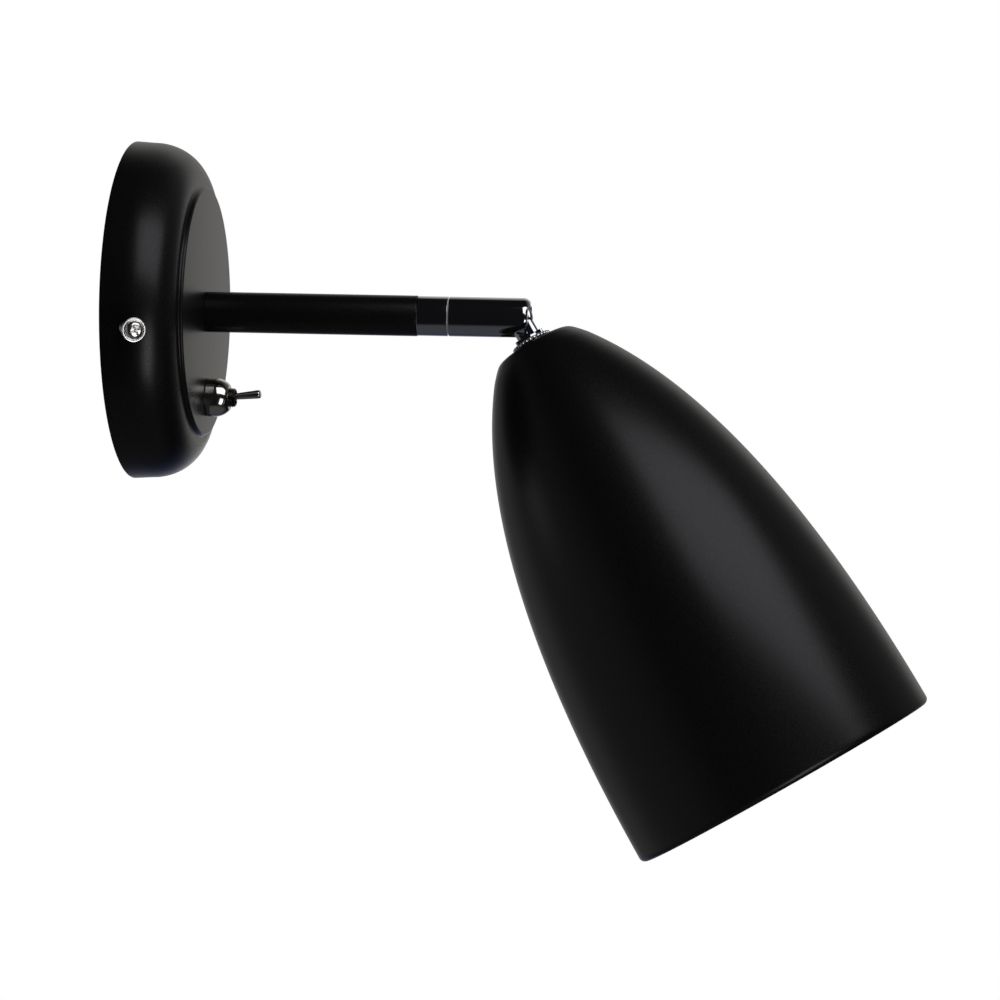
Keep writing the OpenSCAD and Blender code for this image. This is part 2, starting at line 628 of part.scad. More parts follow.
// The insulating core: it carries the terminals, the contact and the threaded shell
module holder_core() color([0.9, 0.88, 0.82]) on_head() difference() {
    union() {
        cylinder_between(core_z, bulb_top_z - bulb_contact_h - 1, holder_r - 2 * holder_t - thread_fit);
        tube_z(bulb_top_z - bulb_contact_h - 1, bulb_top_z, holder_r - 2 * holder_t - thread_fit,
            thread_shell_r + thread_shell_t + thread_fit);
    }
    for (y = [-1, 1]) translate([0, y * core_hole_y, core_z - past])
        cylinder(r = wire_r + 2 * thread_fit, h = 5.5);
}

// The brass shell that the bulb screws into
module holder_thread() color("goldenrod") on_head()
    tube_z(bulb_top_z - bulb_contact_h - 1, holder_end_z - 2, thread_shell_r + thread_shell_t, thread_shell_r);

module holder_contact() color("goldenrod") on_head() translate([-4, -1.5, bulb_top_z - bulb_contact_h - 1])
    cube([8, 3, 0.6]);

module bulb_base() color([0.8, 0.8, 0.8]) on_head() rotate_extrude() polygon(concat(
    [[0, bulb_top_z], [bulb_thread_d / 2 - 2.5, bulb_top_z], [bulb_thread_d / 2 - 0.8, bulb_top_z + 2]],
    [for (i = [0:9]) [bulb_thread_d / 2 - (i % 2 == 0 ? 0.7 : 0), bulb_top_z + 2.5 + i * 1.4]],
    [[bulb_thread_d / 2 - 0.7, bulb_top_z + 2.5 + bulb_thread_len], [bulb_thread_d / 2 - 0.7, holder_end_z],
        [0, holder_end_z]]));

module bulb_contact() color([0.7, 0.7, 0.7]) on_head()
    translate([0, 0, bulb_top_z - bulb_contact_h]) cylinder(r1 = 1.6, r2 = 3.2, h = bulb_contact_h);

// The bulb's body flares from its screw base to the globe that it carries
module bulb_housing() color([0.95, 0.95, 0.95]) on_head() rotate_extrude() polygon(concat(
    [[0, holder_end_z], [bulb_neck_r, holder_end_z]],
    [for (i = [0:8]) curve_at(bulb_flare, i / 8)],
    [[0, globe_rim_z]]));

module bulb_globe() color([0.98, 0.97, 0.94]) on_head() rotate_extrude() polygon(concat(
    [[0, globe_rim_z]],
    [for (a = [-globe_cut:(90 + globe_cut) / 14:90]) [bulb_r * cos(a), globe_z + bulb_r * sin(a)]]));

// Leads: neutral from the terminal block and switched live from the switch, down the arm
module arm_leads() color([0.75, 0.75, 0.78]) on_rosette() {
    lead([[pole_x, -pole_step, lead_end_z], [pole_x, -pole_step, block_z0 - 4], [pole_x - 1, -6, 8],
        [rod_start_x - 5, -wire_step, 0], [spigot_end_x + 0.5, -wire_step, 0]], wire_r);
    lead([switch_tab(0), switch_tab(0) - [3, 0, 0], [lead_low_x, wire_step, -8],
        [rod_start_x - 5, wire_step, 0], [spigot_end_x + 0.5, wire_step, 0]], wire_r);
}

// Live from the terminal block to the switch, round the bracket's middle
module switch_lead() color([0.75, 0.75, 0.78]) on_rosette()
    lead([switch_tab(tab_step), switch_tab(tab_step) - [3, 0, 0], [lead_low_x, 11, -16],
        [lead_low_x, 11, 15], [pole_x, pole_step, block_z0 - 4], [pole_x, pole_step, lead_end_z]], wire_r);

module knuckle_leads() color([0.75, 0.75, 0.78]) for (y = [-1, 1])
    lead([[spigot_end_x + 1, y * wire_step, 0], [slot_back_x - 3, y * wire_step, 0],
        [slot_back_x - 0.6, y * wire_step, -1.6]], wire_r, 1);

module head_leads() color([0.75, 0.75, 0.78]) on_head() for (y = [-1, 1])
    lead([[0, y * wire_step, wire_outlet_z + 0.5], [0, y * wire_step, stem_end_z],
        [0, y * core_hole_y, core_z - 1], [0, y * core_hole_y, core_z + 4]], wire_r, 1);

module earth_lead() color([0.55, 0.75, 0.2]) on_rosette()
    lead([[earth_lead_x, 0, earth_z + 4.2], [earth_lead_x, 0, earth_z + 6], [pole_x, 0, block_z0 - 1],
        [pole_x, 0, lead_end_z]], wire_r, 1);

module terminal_block() color([0.93, 0.93, 0.9]) on_rosette() difference() {
    union() {
        translate([bracket_t, -block_w / 2, block_z0]) cube([block_floor, block_w, block_z1 - block_z0]);
        for (i = [-1:1]) translate([bracket_t, i * pole_step - tower_w / 2, block_z0])
            cube([block_h, tower_w, block_z1 - block_z0]);
    }
    for (i = [-1:1]) {
        translate([pole_x, i * pole_step, block_z0 - past])
            cylinder(r = pole_r, h = block_z1 - block_z0 + 2 * past);
        for (z = [-1, 1]) translate([0, i * pole_step, block_z + z * terminal_screw_z]) along_x(pole_x)
            cylinder(r = terminal_screw_r + 0.2, h = block_h);
    }
    translate([0, pole_step / 2, block_z]) along_x(bracket_t - past)
        cylinder(r = block_screw_r + 0.1, h = block_h);
}

module terminal_tubes() color("goldenrod") on_rosette() for (i = [-1:1]) difference() {
    translate([pole_x, i * pole_step, block_z0 + 1])
        cylinder(r = pole_r - thread_fit, h = block_z1 - block_z0 - 2);
    translate([pole_x, i * pole_step, block_z0 - past])
        cylinder(r = tube_bore_r, h = block_z1 - block_z0 + 2 * past);
    for (z = [-1, 1]) translate([0, i * pole_step, block_z + z * terminal_screw_z]) along_x(pole_x)
        cylinder(r = terminal_screw_r + thread_fit, h = block_h);
}

module terminal_screws() color("silver") on_rosette() for (i = [-1:1], z = [-1, 1])
    translate([0, i * pole_step, block_z + z * terminal_screw_z]) difference() {
        along_x(pole_x + wire_r + 0.1) cylinder(r = terminal_screw_r, h = terminal_screw_len);
        translate([pole_x + wire_r + terminal_screw_len - 0.7, -0.3, -terminal_screw_r - past])
            cube([2, 0.6, 2 * terminal_screw_r + 2 * past]);
    }

module block_screw() color("silver") on_rosette()
    translate([bracket_t + block_floor, pole_step / 2, block_z]) rotate([0, 90, 0])
        pan_screw(block_screw_r, bracket_t + block_floor - 0.4, 1.3, 0.9);

module earth_lug() color("silver") on_rosette() difference() {
    union() {
        translate([0, 0, earth_z]) along_x(bracket_t) cylinder(r = earth_lug_r, h = earth_lug_t);
        translate([bracket_t, -1.2, earth_z]) cube([earth_lug_t, 2.4, earth_lug_r + 2]);
    }
    translate([0, 0, earth_z]) along_x(0) cylinder(r = earth_screw_r + thread_fit, h = 2 * bracket_t);
}

module earth_screw() color("silver") on_rosette()
    translate([bracket_t + earth_lug_t, 0, earth_z]) rotate([0, 90, 0])
        pan_screw(earth_screw_r, bracket_t + earth_lug_t - 0.3, 3.4, 1.8);

module switch_body() color([0.12, 0.18, 0.45]) on_switch() difference() {
    translate([body_back_x, -switch_body_l / 2, -switch_body_w / 2])
        cube([switch_body_h, switch_body_l, switch_body_w]);
    along_x(body_front_x - 3.2) cylinder(r = bushing_bore_r, h = 3.2 + past);
}

module switch_terminals() color([0.85, 0.85, 0.86]) on_switch() for (i = [-1:1])
    translate([body_back_x - tab_len, i * tab_step - 0.4, -1]) cube([tab_len, 0.8, 2]);

module switch_washer() color("silver") on_switch()
    tube_x(body_front_x, inner_face_x, 5, bushing_r + thread_fit);

module switch_bushing() color([0.16, 0.16, 0.17]) on_switch() difference() {
    along_x() rotate_extrude() polygon([[0, body_front_x], [bushing_r, body_front_x],
        [bushing_r, bushing_end_x - 0.4], [bushing_r - 0.4, bushing_end_x], [0, bushing_end_x]]);
    along_x(body_front_x - past) cylinder(r = bushing_bore_r, h = bushing_end_x - body_front_x + 2 * past);
}

// The dome nut: a straight skirt under a round dome, flat where the bushing comes out
module dome_nut() color([0.8, 0.78, 0.72]) on_switch() difference() {
    along_x() rotate_extrude($fn = 96) polygon(concat([[0, face_x], [dome_r - 0.3, face_x],
        [dome_r, face_x + 0.3]],
        [for (a = [0:dome_end / 6:dome_end + 0.1]) [dome_r * cos(a), face_x + dome_skirt_h + dome_r * sin(a)]],
        [[0, face_x + dome_skirt_h + dome_r * sin(dome_end)]]));
    along_x(face_x - past) cylinder(r = bushing_r + thread_fit, h = dome_nut_h + 2 * past);
}

module switch_lever() color([0.85, 0.85, 0.83]) on_switch() translate([lever_pivot_x, 0, 0])
    rotate([0, 0, -lever_lean]) union() {
        sphere(r = lever_ball_r);
        along_x() rotate_extrude() polygon([[0, -4.5], [0.8, -4.5], [0.8, 0], [1.05, 0], [1.05, 4],
            [lever_tip_d / 2, lever_out - 1], [lever_tip_d / 2, lever_out - 0.3],
            [lever_tip_d / 2 - 0.3, lever_out], [0, lever_out]]);
    }

wall_bracket();
side_screws();
rosette();
arm_tube();
arm_rod();
rod_washer();
rod_nut();
swivel_ring();
swivel_spigot();
stop_pin();
slip_washer();
wave_washer();
spigot_nut();
terminal_block();
terminal_tubes();
terminal_screws();
block_screw();
earth_lug();
earth_screw();
arm_leads();
switch_lead();
earth_lead();
switch_body();
switch_terminals();
switch_washer();
switch_bushing();
dome_nut();
switch_lever();
knuckle_body();
pivot_pin();
knuckle_leads();
pivot_tongue();
friction_washers();
knurled_ring();
shade();
shade_washer();
shade_nut();
holder_cap();
holder_sleeve();
holder_core();
holder_thread();
holder_contact();
head_leads();
bulb_base();
bulb_contact();
bulb_housing();
bulb_globe();
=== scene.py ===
"""Dresses the adjustable wall light and stands it in a plain studio.

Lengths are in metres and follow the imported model's frame: +X leaves the wall along the arm and +Z is up.
Each sub-assembly is a class that keeps its sizes, builds its meshes and dresses them in a finish.
"""

import json
import logging
import math
from dataclasses import dataclass
from enum import Enum
from typing import Iterable, Optional, Sequence

import bmesh
import bpy
from bmesh.types import BMesh, BMVert
from bpy.types import Material, Node, NodeSocket, Object
from mathutils import Matrix, Vector


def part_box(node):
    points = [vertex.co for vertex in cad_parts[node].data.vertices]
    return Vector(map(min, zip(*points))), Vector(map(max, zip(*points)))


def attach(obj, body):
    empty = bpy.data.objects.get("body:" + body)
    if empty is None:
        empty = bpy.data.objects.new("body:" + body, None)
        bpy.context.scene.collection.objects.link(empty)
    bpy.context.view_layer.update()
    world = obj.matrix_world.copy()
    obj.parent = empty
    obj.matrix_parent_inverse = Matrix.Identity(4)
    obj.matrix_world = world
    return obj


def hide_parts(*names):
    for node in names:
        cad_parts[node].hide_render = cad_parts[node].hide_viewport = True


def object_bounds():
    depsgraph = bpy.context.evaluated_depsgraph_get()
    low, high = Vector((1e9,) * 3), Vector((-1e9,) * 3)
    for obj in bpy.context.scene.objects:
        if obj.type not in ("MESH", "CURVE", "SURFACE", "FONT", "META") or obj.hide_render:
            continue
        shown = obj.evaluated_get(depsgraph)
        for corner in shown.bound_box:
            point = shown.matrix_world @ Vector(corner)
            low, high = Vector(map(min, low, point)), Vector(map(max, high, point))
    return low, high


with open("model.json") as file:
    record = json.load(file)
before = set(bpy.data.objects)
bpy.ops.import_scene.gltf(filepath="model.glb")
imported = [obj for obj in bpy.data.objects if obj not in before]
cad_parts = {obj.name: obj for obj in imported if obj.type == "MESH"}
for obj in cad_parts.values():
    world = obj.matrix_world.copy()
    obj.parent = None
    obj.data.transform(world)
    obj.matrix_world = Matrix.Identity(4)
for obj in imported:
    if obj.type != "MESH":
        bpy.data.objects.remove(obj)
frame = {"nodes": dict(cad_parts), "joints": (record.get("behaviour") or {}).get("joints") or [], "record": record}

log = logging.getLogger("wall_light")

Pair = tuple[float, float]
Triple = tuple[float, float, float]

MM = 0.001
CAD_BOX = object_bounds()

# Points nearer than this are one, and an edge or a face smaller than a sliver is dropped
SAME_POINT = 1e-7
SLIVER = 1e-8

# How far a cutter passes the face that it opens
OVERREACH = 1 * MM

# Turns in degrees from which an edge is shaded sharp, and from which it is bevelled
SHARP = 32.0
BEVELLED = 35.0


class Body(Enum):
    """The rigid bodies that the pieces ride on."""

    BASE = "base"
    TOGGLE = "toggle"
    KNUCKLE = "knuckle"
    HEAD = "head"


# Frames of the sub-assemblies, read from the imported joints


def joint(name: str) -> dict:
    """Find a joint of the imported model.

    Args:
        name: The joint's name.

    Returns:
        The joint's record.
    """
    return next(j for j in frame["joints"] if j["name"] == name)


def about(axis: str, degrees: float) -> Matrix:
    """Return a turn about one of the axes, given in degrees."""
    return Matrix.Rotation(math.radians(degrees), 4, axis)


def shift(x: float = 0.0, y: float = 0.0, z: float = 0.0) -> Matrix:
    """Return a move along the axes."""
    return Matrix.Translation((x, y, z))


def switch_frame() -> Matrix:
    """Return the toggle switch's frame: +Z leaves the rosette, and the lever tilts about +X."""
    toggle = joint("switch_toggle")
    out, hinge = Vector((1, 0, 0)), Vector(toggle["axis"]).normalized()
    side = out.cross(hinge)
    turn = Matrix((hinge, side, out)).transposed().to_4x4()
    return shift(0, *toggle["pos_m"][1:]) @ turn


ALONG_ARM = about("Y", 90)
TILT = joint("shade_tilt")
SHADE_TILT = -TILT["range_deg"][0]
HEAD = shift(*TILT["pos_m"]) @ about("Y", 90 + SHADE_TILT)
SWITCH = switch_frame()

# Turn of the rosette and of what it carries about the arm's axis, in degrees
ROSETTE_TURN = 13.0


# Mesh tools


@dataclass(frozen=True)
class Corner:
    """A corner of a turned outline.

    Attributes:
        r: Distance from the axis.
        z: Place along the axis.
        soft: How far back from the corner its rounding starts.
    """

    r: float
    z: float
    soft: float = 0.0


def arc(centre: Pair, radii: Pair, start: float, end: float, count: int) -> list[Corner]:
    """Set corners along part of an ellipse.

    Args:
        centre: The ellipse's centre as (r, z).
        radii: Its half axes along r and z.
        start: Angle of the first corner in degrees, from the r axis towards z.
        end: Angle of the last corner.
        count: Number of steps.

    Returns:
        The corners, both ends included.
    """
    angles = [math.radians(start + (end - start) * i / count) for i in range(count + 1)]
    return [Corner(centre[0] + radii[0] * math.cos(a), centre[1] + radii[1] * math.sin(a)) for a in angles]


def turned(outline: Sequence[Corner], steps: int = 128, rounding: int = 5) -> BMesh:
    """Round the corners of an outline and spin it about Z.

    Args:
        outline: Corners in order. The last joins the first, unless both are on the axis.
        steps: Number of steps round the axis.
        rounding: Steps in each rounded corner.

    Returns:
        The turned solid, with its faces outwards.
    """
    mesh = bmesh.new()
    points = [mesh.verts.new((c.r, 0, c.z)) for c in outline]
    on_axis = outline[0].r == outline[-1].r == 0
    for a, b in zip(points, points[1:] if on_axis else points[1:] + points[:1]):
        mesh.edges.new((a, b))
    for point, corner in zip(points, outline):
        if corner.soft > 0:
            bmesh.ops.bevel(mesh, geom=[point], offset=corner.soft, offset_type="OFFSET", segments=rounding,
                            profile=0.5, affect="VERTICES", material=-1)
    line = list(mesh.verts) + list(mesh.edges)
    bmesh.ops.spin(mesh, geom=line, cent=(0, 0, 0), axis=(0, 0, 1), angle=math.tau, steps=steps,
                   use_merge=True)
    finish_shell(mesh)
    return mesh


def finish_shell(mesh: BMesh) -> None:
    """Merge what coincides, drop slivers and turn all faces outwards."""
    bmesh.ops.remove_doubles(mesh, verts=mesh.verts, dist=SAME_POINT)
    bmesh.ops.dissolve_degenerate(mesh, dist=SLIVER, edges=mesh.edges)
    bmesh.ops.recalc_face_normals(mesh, faces=mesh.faces)


def bezier(start: Vector, pulls: tuple[Vector, Vector], end: Vector, t: float) -> Corner:
    """Find a point of a cubic curve in the plane of an outline.

    Args:
        start: Where the curve starts, as (r, z).
        pulls: The two points that it bends towards.
        end: Where it ends.
        t: How far along the point is, from 0 to 1.

    Returns:
        The point, as a corner without rounding.
    """
    point = ((1 - t) ** 3 * start + 3 * (1 - t) ** 2 * t * pulls[0] + 3 * (1 - t) * t ** 2 * pulls[1]
             + t ** 3 * end)
    return Corner(point.x, point.y)


def block(low: Sequence[float], high: Sequence[float]) -> BMesh:
    """Make a box between two corners.

    Args:
        low: The lowest corner.
        high: The highest corner.

    Returns:
        The box.
    """
    mesh = bmesh.new()
    bmesh.ops.create_cube(mesh, size=1.0)
    size = [b - a for a, b in zip(low, high)]
    middle = [(a + b) / 2 for a, b in zip(low, high)]
    bmesh.ops.scale(mesh, vec=size, verts=mesh.verts)
    bmesh.ops.translate(mesh, vec=middle, verts=mesh.verts)
    return mesh


def placed(mesh: BMesh, *places: Matrix) -> BMesh:
    """Move a mesh into place.

    Args:
        mesh: The mesh, which is changed itself.
        places: The places one inside the other, the outermost first.

    Returns:
        The same mesh.
    """
    matrix = Matrix.Identity(4)
    for place in places:
        matrix = matrix @ place
    mesh.transform(matrix)
    return mesh


def joined(meshes: Iterable[BMesh]) -> BMesh:
    """Put several meshes in one.

    Args:
        meshes: The meshes. They are used up.

    Returns:
        One mesh, in which each is still a shell of its own.
    """
    whole = bmesh.new()
    for mesh in meshes:
        held = bpy.data.meshes.new("held")
        mesh.to_mesh(held)
        whole.from_mesh(held)
        bpy.data.meshes.remove(held)
        mesh.free()
    return whole


class Join(Enum):
    """The ways to combine solids."""

    CUT = "DIFFERENCE"
    FUSE = "UNION"


def combined(mesh: BMesh, others: Iterable[BMesh], way: Join = Join.CUT) -> BMesh:
    """Combine one solid with others, one after the other.

    Args:
        mesh: The first solid. It is used up.
        others: The other solids. They are used up.
        way: Whether the others are cut away or fused on.

    Returns:
        The combined solid.
    """
    blank = plain_object("blank", mesh)
    tools = [plain_object("tool", other) for other in others]
    for tool in tools:
        step = blank.modifiers.new("step", "BOOLEAN")
        step.operation, step.solver, step.object = way.value, "EXACT", tool
    bpy.context.view_layer.update()
    result = bmesh.new()
    result.from_object(blank, bpy.context.evaluated_depsgraph_get())
    for thing in [blank, *tools]:
        data = thing.data
        bpy.data.objects.remove(thing)
        bpy.data.meshes.remove(data)
    bmesh.ops.remove_doubles(result, verts=result.verts, dist=SAME_POINT)
    return result


def rod(radius: float, start: float, end: float, steps: int = 48, edge: float = 0.0) -> BMesh:
    """Make a rod along Z.

    Args:
        radius: Its radius.
        start: Where it starts.
        end: Where it ends.
        steps: Number of steps round it.
        edge: Rounding of the edge at its end.

    Returns:
        The rod.
    """
    return turned([Corner(0, start), Corner(radius, start), Corner(radius, end, edge), Corner(0, end)], steps)


def prism(corners: Sequence[Pair], low: float, high: float) -> BMesh:
    """Stand a prism on an outline.

    Args:
        corners: The outline's corners as (x, y), in order.
        low: Where the prism starts along Z.
        high: Where it ends.

    Returns:
        The prism.
    """
    mesh = bmesh.new()
    base = mesh.faces.new([mesh.verts.new((x, y, low)) for x, y in corners])
    grown = bmesh.ops.extrude_face_region(mesh, geom=[base])
    top = [v for v in grown["geom"] if isinstance(v, BMVert)]
    bmesh.ops.translate(mesh, vec=(0, 0, high - low), verts=top)
    finish_shell(mesh)
    return mesh


def round_block(half_x: float, half_y: float, corner: float, steps: int = 10) -> list[Pair]:
    """Return the outline of a block with round corners, centred on the axis.

    Args:
        half_x: Half its width.
        half_y: Half its depth.
        corner: Radius of its corners.
        steps: Steps in each corner.

    Returns:
        The outline's corners as (x, y), in order.
    """
    points = []
    for quarter, (sx, sy) in enumerate(((1, 1), (-1, 1), (-1, -1), (1, -1))):
        middle = (sx * (half_x - corner), sy * (half_y - corner))
        bend = arc(middle, (corner, corner), 90 * quarter, 90 * quarter + 90, steps)
        points += [(c.r, c.z) for c in bend]
    return [p for i, p in enumerate(points) if math.dist(p, points[i - 1]) > SAME_POINT]


def plain_object(name: str, mesh: BMesh) -> Object:
    """Turn a mesh into an object of the scene.

    Args:
        name: The object's name.
        mesh: Its mesh, which is freed.

    Returns:
        The object, at the origin.
    """
    data = bpy.data.meshes.new(name)
    mesh.to_mesh(data)
    mesh.free()
    thing = bpy.data.objects.new(name, data)
    bpy.context.scene.collection.objects.link(thing)
    return thing


def shade_smooth(mesh: BMesh) -> None:
    """Shade a mesh smooth, and mark its sharp edges."""
    limit = math.radians(SHARP)
    for face in mesh.faces:
        face.smooth = True
    for edge in mesh.edges:
        edge.smooth = edge.calc_face_angle(0.0) < limit


# Finishes

# The range that noise mostly keeps to
NOISE_RANGE = (0.3, 0.7)


@dataclass
class ShaderTree:
    """A node tree with short calls to add nodes and join them."""

    tree: bpy.types.NodeTree

    def add(self, kind: str, **values: object) -> Node:
        """Add a node.

        Args:
            kind: The node's type.
            values: Its properties, by name.

        Returns:
            The node.
        """
        node = self.tree.nodes.new(kind)
        for key, value in values.items():
            setattr(node, key, value)
        return node

    def link(self, out: NodeSocket, into: NodeSocket) -> None:
        """Join two sockets."""
        self.tree.links.new(out, into)


class Nodes(ShaderTree):
    """A material's node tree, with short calls for the nodes that the finishes use."""

    def __init__(self, name: str) -> None:
        """Start a material whose surface is one Principled shader."""
        self.material = bpy.data.materials.new(name)
        self.material.use_nodes = True
        super().__init__(self.material.node_tree)
        self.shader = self.tree.nodes["Principled BSDF"]
        self.place = self.add("ShaderNodeTexCoord").outputs["Object"]

    def noise(self, size: float, detail: float = 3.0, stretch: Sequence[float] = (1, 1, 1)) -> NodeSocket:
        """Add noise that follows the piece.

        Args:
            size: Size of a grain in metres.
            detail: Number of finer layers.
            stretch: Scale along the piece's axes.

        Returns:
            The noise's value, from 0 to 1.
        """
        mapping = self.add("ShaderNodeMapping")
        mapping.inputs["Scale"].default_value = stretch
        texture = self.add("ShaderNodeTexNoise")
        texture.inputs["Scale"].default_value = 1.0 / size
        texture.inputs["Detail"].default_value = detail
        self.link(self.place, mapping.inputs["Vector"])
        self.link(mapping.outputs["Vector"], texture.inputs["Vector"])
        return texture.outputs["Fac"]

    def spread(self, value: NodeSocket, low: float, high: float) -> NodeSocket:
        """Spread noise over a range.

        Args:
            value: The noise.
            low: The lowest result.
            high: The highest result.

        Returns:
            The result.
        """
        node = self.add("ShaderNodeMapRange")
        for key, number in zip(("From Min", "From Max", "To Min", "To Max"), (*NOISE_RANGE, low, high)):
            node.inputs[key].default_value = number
        self.link(value, node.inputs["Value"])
        return node.outputs["Result"]

    def blend(self, value: NodeSocket, dark: Sequence[float], light: Sequence[float]) -> NodeSocket:
        """Blend two colours.

        Args:
            value: What they are blended by, from 0 to 1.
            dark: The colour at 0.
            light: The colour at 1.

        Returns:
            The blended colour.
        """
        node = self.add("ShaderNodeMix", data_type="RGBA")
        for socket in node.inputs:
            if socket.name in ("A", "B") and socket.type == "RGBA":
                socket.default_value = (*(dark if socket.name == "A" else light), 1.0)
        self.link(value, node.inputs["Factor"])
        return next(s for s in node.outputs if s.type == "RGBA")

    def bump(self, value: NodeSocket, height: float, strength: float = 1.0) -> NodeSocket:
        """Add a bump.

        Args:
            value: The height's pattern, from 0 to 1.
            height: The height in metres.
            strength: How much of it shows.

        Returns:
            The bent normal.
        """
        node = self.add("ShaderNodeBump")
        node.inputs["Distance"].default_value = height
        node.inputs["Strength"].default_value = strength
        self.link(value, node.inputs["Height"])
        return node.outputs["Normal"]

    def mottle(self, value: NodeSocket, color: Triple, change: float) -> None:
        """Give the shader a colour that a pattern makes darker and lighter.

        Args:
            value: The pattern, from 0 to 1.
            color: The mean colour.
            change: Share by which it changes either way.
        """
        dark, light = [c * (1 - change) for c in color], [min(1.0, c * (1 + change)) for c in color]
        self.link(self.blend(value, dark, light), self.shader.inputs["Base Color"])

    def vary_gloss(self, value: NodeSocket, roughness: float, change: float) -> None:
        """Give the shader a roughness that a noise changes either way."""
        rough = self.spread(value, max(0.0, roughness - change), roughness + change)
        self.link(rough, self.shader.inputs["Roughness"])

    def set(self, **values: object) -> None:
        """Set the shader's sockets by name, with underscores for spaces."""
        for key, value in values.items():
            self.shader.inputs[key.replace("_", " ")].default_value = value


@dataclass(frozen=True)
class Finish:
    """A surface finish that one of the record's material slots takes.

    Attributes:
        slot: The material slot.
        color: Base colour, linear.
        roughness: Mean roughness.
    """

    slot: str
    color: Triple
    roughness: float

    def title(self) -> str:
        """Return the material's name, which no packed material has."""
        return f"{self.slot}_finish"

    def material(self) -> Material:
        """Make the material once, and return it again after that."""
        return bpy.data.materials.get(self.title()) or self.make()

    def make(self) -> Material:
        """Build the node tree; each kind of finish has its own."""
        raise NotImplementedError


@dataclass(frozen=True)
class PowderCoat(Finish):
    """Satin powder coat: a fine orange peel with an uneven sheen.

    Attributes:
        peel: Height of the orange peel in metres.
        gloss: Specular level of the coat.
        uneven: Share by which the colour changes from grain to grain.
        patchy: How much the roughness changes with it.
        grain: Size of a grain in metres.
    """

    peel: float = 1.2e-6
    gloss: float = 0.5
    uneven: float = 0.3
    patchy: float = 0.045
    grain: float = 0.45 * MM

    def make(self) -> Material:
        """Build the coat's nodes."""
        nodes = Nodes(self.title())
        grain = nodes.noise(self.grain, 2.0)
        nodes.mottle(grain, self.color, self.uneven)
        nodes.vary_gloss(grain, self.roughness, self.patchy)
        nodes.link(nodes.bump(grain, self.peel), nodes.shader.inputs["Normal"])
        nodes.set(Specular_IOR_Level=self.gloss)
        return nodes.material


@dataclass(frozen=True)
class Plating(Finish):
    """Plated or bare metal with faint handling marks.

    Attributes:
        marks: How much the marks change the roughness.
        uneven: Share by which they change the colour.
        pitting: Height of the fine pits in metres.
        smear: Size of a mark in metres.
        pit: Size of a pit in metres.
    """

    marks: float = 0.03
    uneven: float = 0.05
    pitting: float = 0.6e-6
    smear: float = 6 * MM
    pit: float = 0.35 * MM

    def make(self) -> Material:
        """Build the metal's nodes."""
        nodes = Nodes(self.title())
        smear, speck = nodes.noise(self.smear, 4.0), nodes.noise(self.pit, 2.0)
        nodes.mottle(smear, self.color, self.uneven)
        nodes.vary_gloss(smear, self.roughness, self.marks)
        nodes.link(nodes.bump(speck, self.pitting, 0.4), nodes.shader.inputs["Normal"])
        nodes.set(Metallic=1.0)
        return nodes.material


@dataclass(frozen=True)
class Moulding(Finish):
    """Moulded plastic with a faint texture from its tool.

    Attributes:
        texture: Height of the texture in metres.
        through: Share of light that scatters below the surface.
        uneven: How much the roughness and the colour change.
        depth: How deep red, green and blue light goes, in metres.
        cloud: Size of a patch of colour in metres.
        pore: Size of a grain of the texture in metres.
    """

    texture: float = 2e-6
    through: float = 0.0
    uneven: float = 0.04
    depth: Triple = (2.0 * MM, 2.0 * MM, 1.8 * MM)
    cloud: float = 5 * MM
    pore: float = 0.25 * MM

    def make(self) -> Material:
        """Build the plastic's nodes."""
        nodes = Nodes(self.title())
        cloud, pore = nodes.noise(self.cloud), nodes.noise(self.pore, 2.0)
        nodes.mottle(cloud, self.color, self.uneven)
        nodes.vary_gloss(pore, self.roughness, self.uneven)
        nodes.link(nodes.bump(pore, self.texture, 0.5), nodes.shader.inputs["Normal"])
        nodes.set(Subsurface_Weight=self.through, Subsurface_Radius=self.depth)
        return nodes.material


@dataclass(frozen=True)
class Fibre(Finish):
    """Pressed fibre sheet with long, faint strands.

    Attributes:
        uneven: Share by which the colour changes from strand to strand.
        relief: Height of the strands in metres.
        strand: Length of a strand in metres.
    """

    uneven: float = 0.25
    relief: float = 8e-6
    strand: float = 0.5 * MM

    def make(self) -> Material:
        """Build the fibre's nodes."""
        nodes = Nodes(self.title())
        strand = nodes.noise(self.strand, 5.0, (1, 1, 6))
        nodes.mottle(strand, self.color, self.uneven)
        nodes.link(nodes.bump(strand, self.relief), nodes.shader.inputs["Normal"])
        nodes.set(Roughness=self.roughness)
        return nodes.material


BLACK = PowderCoat("black_satin", (0.0062, 0.0062, 0.0064), 0.31, 2.4e-6, 0.38)
CHROME = Plating("chrome", (0.72, 0.74, 0.78), 0.055, 0.02)
# A rougher, lighter copy of chrome for the ring's beads: the lighter colour is a painted highlight that makes them
# look white.
PAINTED_HIGHLIGHT_CHROME = Plating("painted_highlight_chrome", (0.90, 0.90, 0.92), 0.15, 0.03)
NICKEL = Plating("nickel", (0.86, 0.81, 0.73), 0.12, 0.04)
ZINC = Plating("zinc", (0.62, 0.62, 0.60), 0.30, 0.06)
# A lighter copy of zinc for the side screws: the lighter colour is a painted highlight.
PAINTED_HIGHLIGHT_ZINC = Plating("painted_highlight_zinc", (0.97, 0.95, 0.91), 0.22, 0.05)
BRASS = Plating("brass", (0.72, 0.50, 0.20), 0.28, 0.06)
CREAM = Moulding("cream_plastic", (0.74, 0.71, 0.62), 0.5)
WHITE = Moulding("white_plastic", (0.80, 0.80, 0.78), 0.28)
OPAL = Moulding("opal", (0.86, 0.85, 0.80), 0.32, 1e-6, 0.35)
FIBRE = Fibre("fibre", (0.36, 0.23, 0.09), 0.75)
LEAD_GREY = Moulding("lead_grey", (0.42, 0.42, 0.46), 0.42)
LEAD_GREEN = Moulding("lead_green", (0.12, 0.33, 0.02), 0.42)
SWITCH_BLUE = Moulding("switch_blue", (0.012, 0.03, 0.12), 0.35)
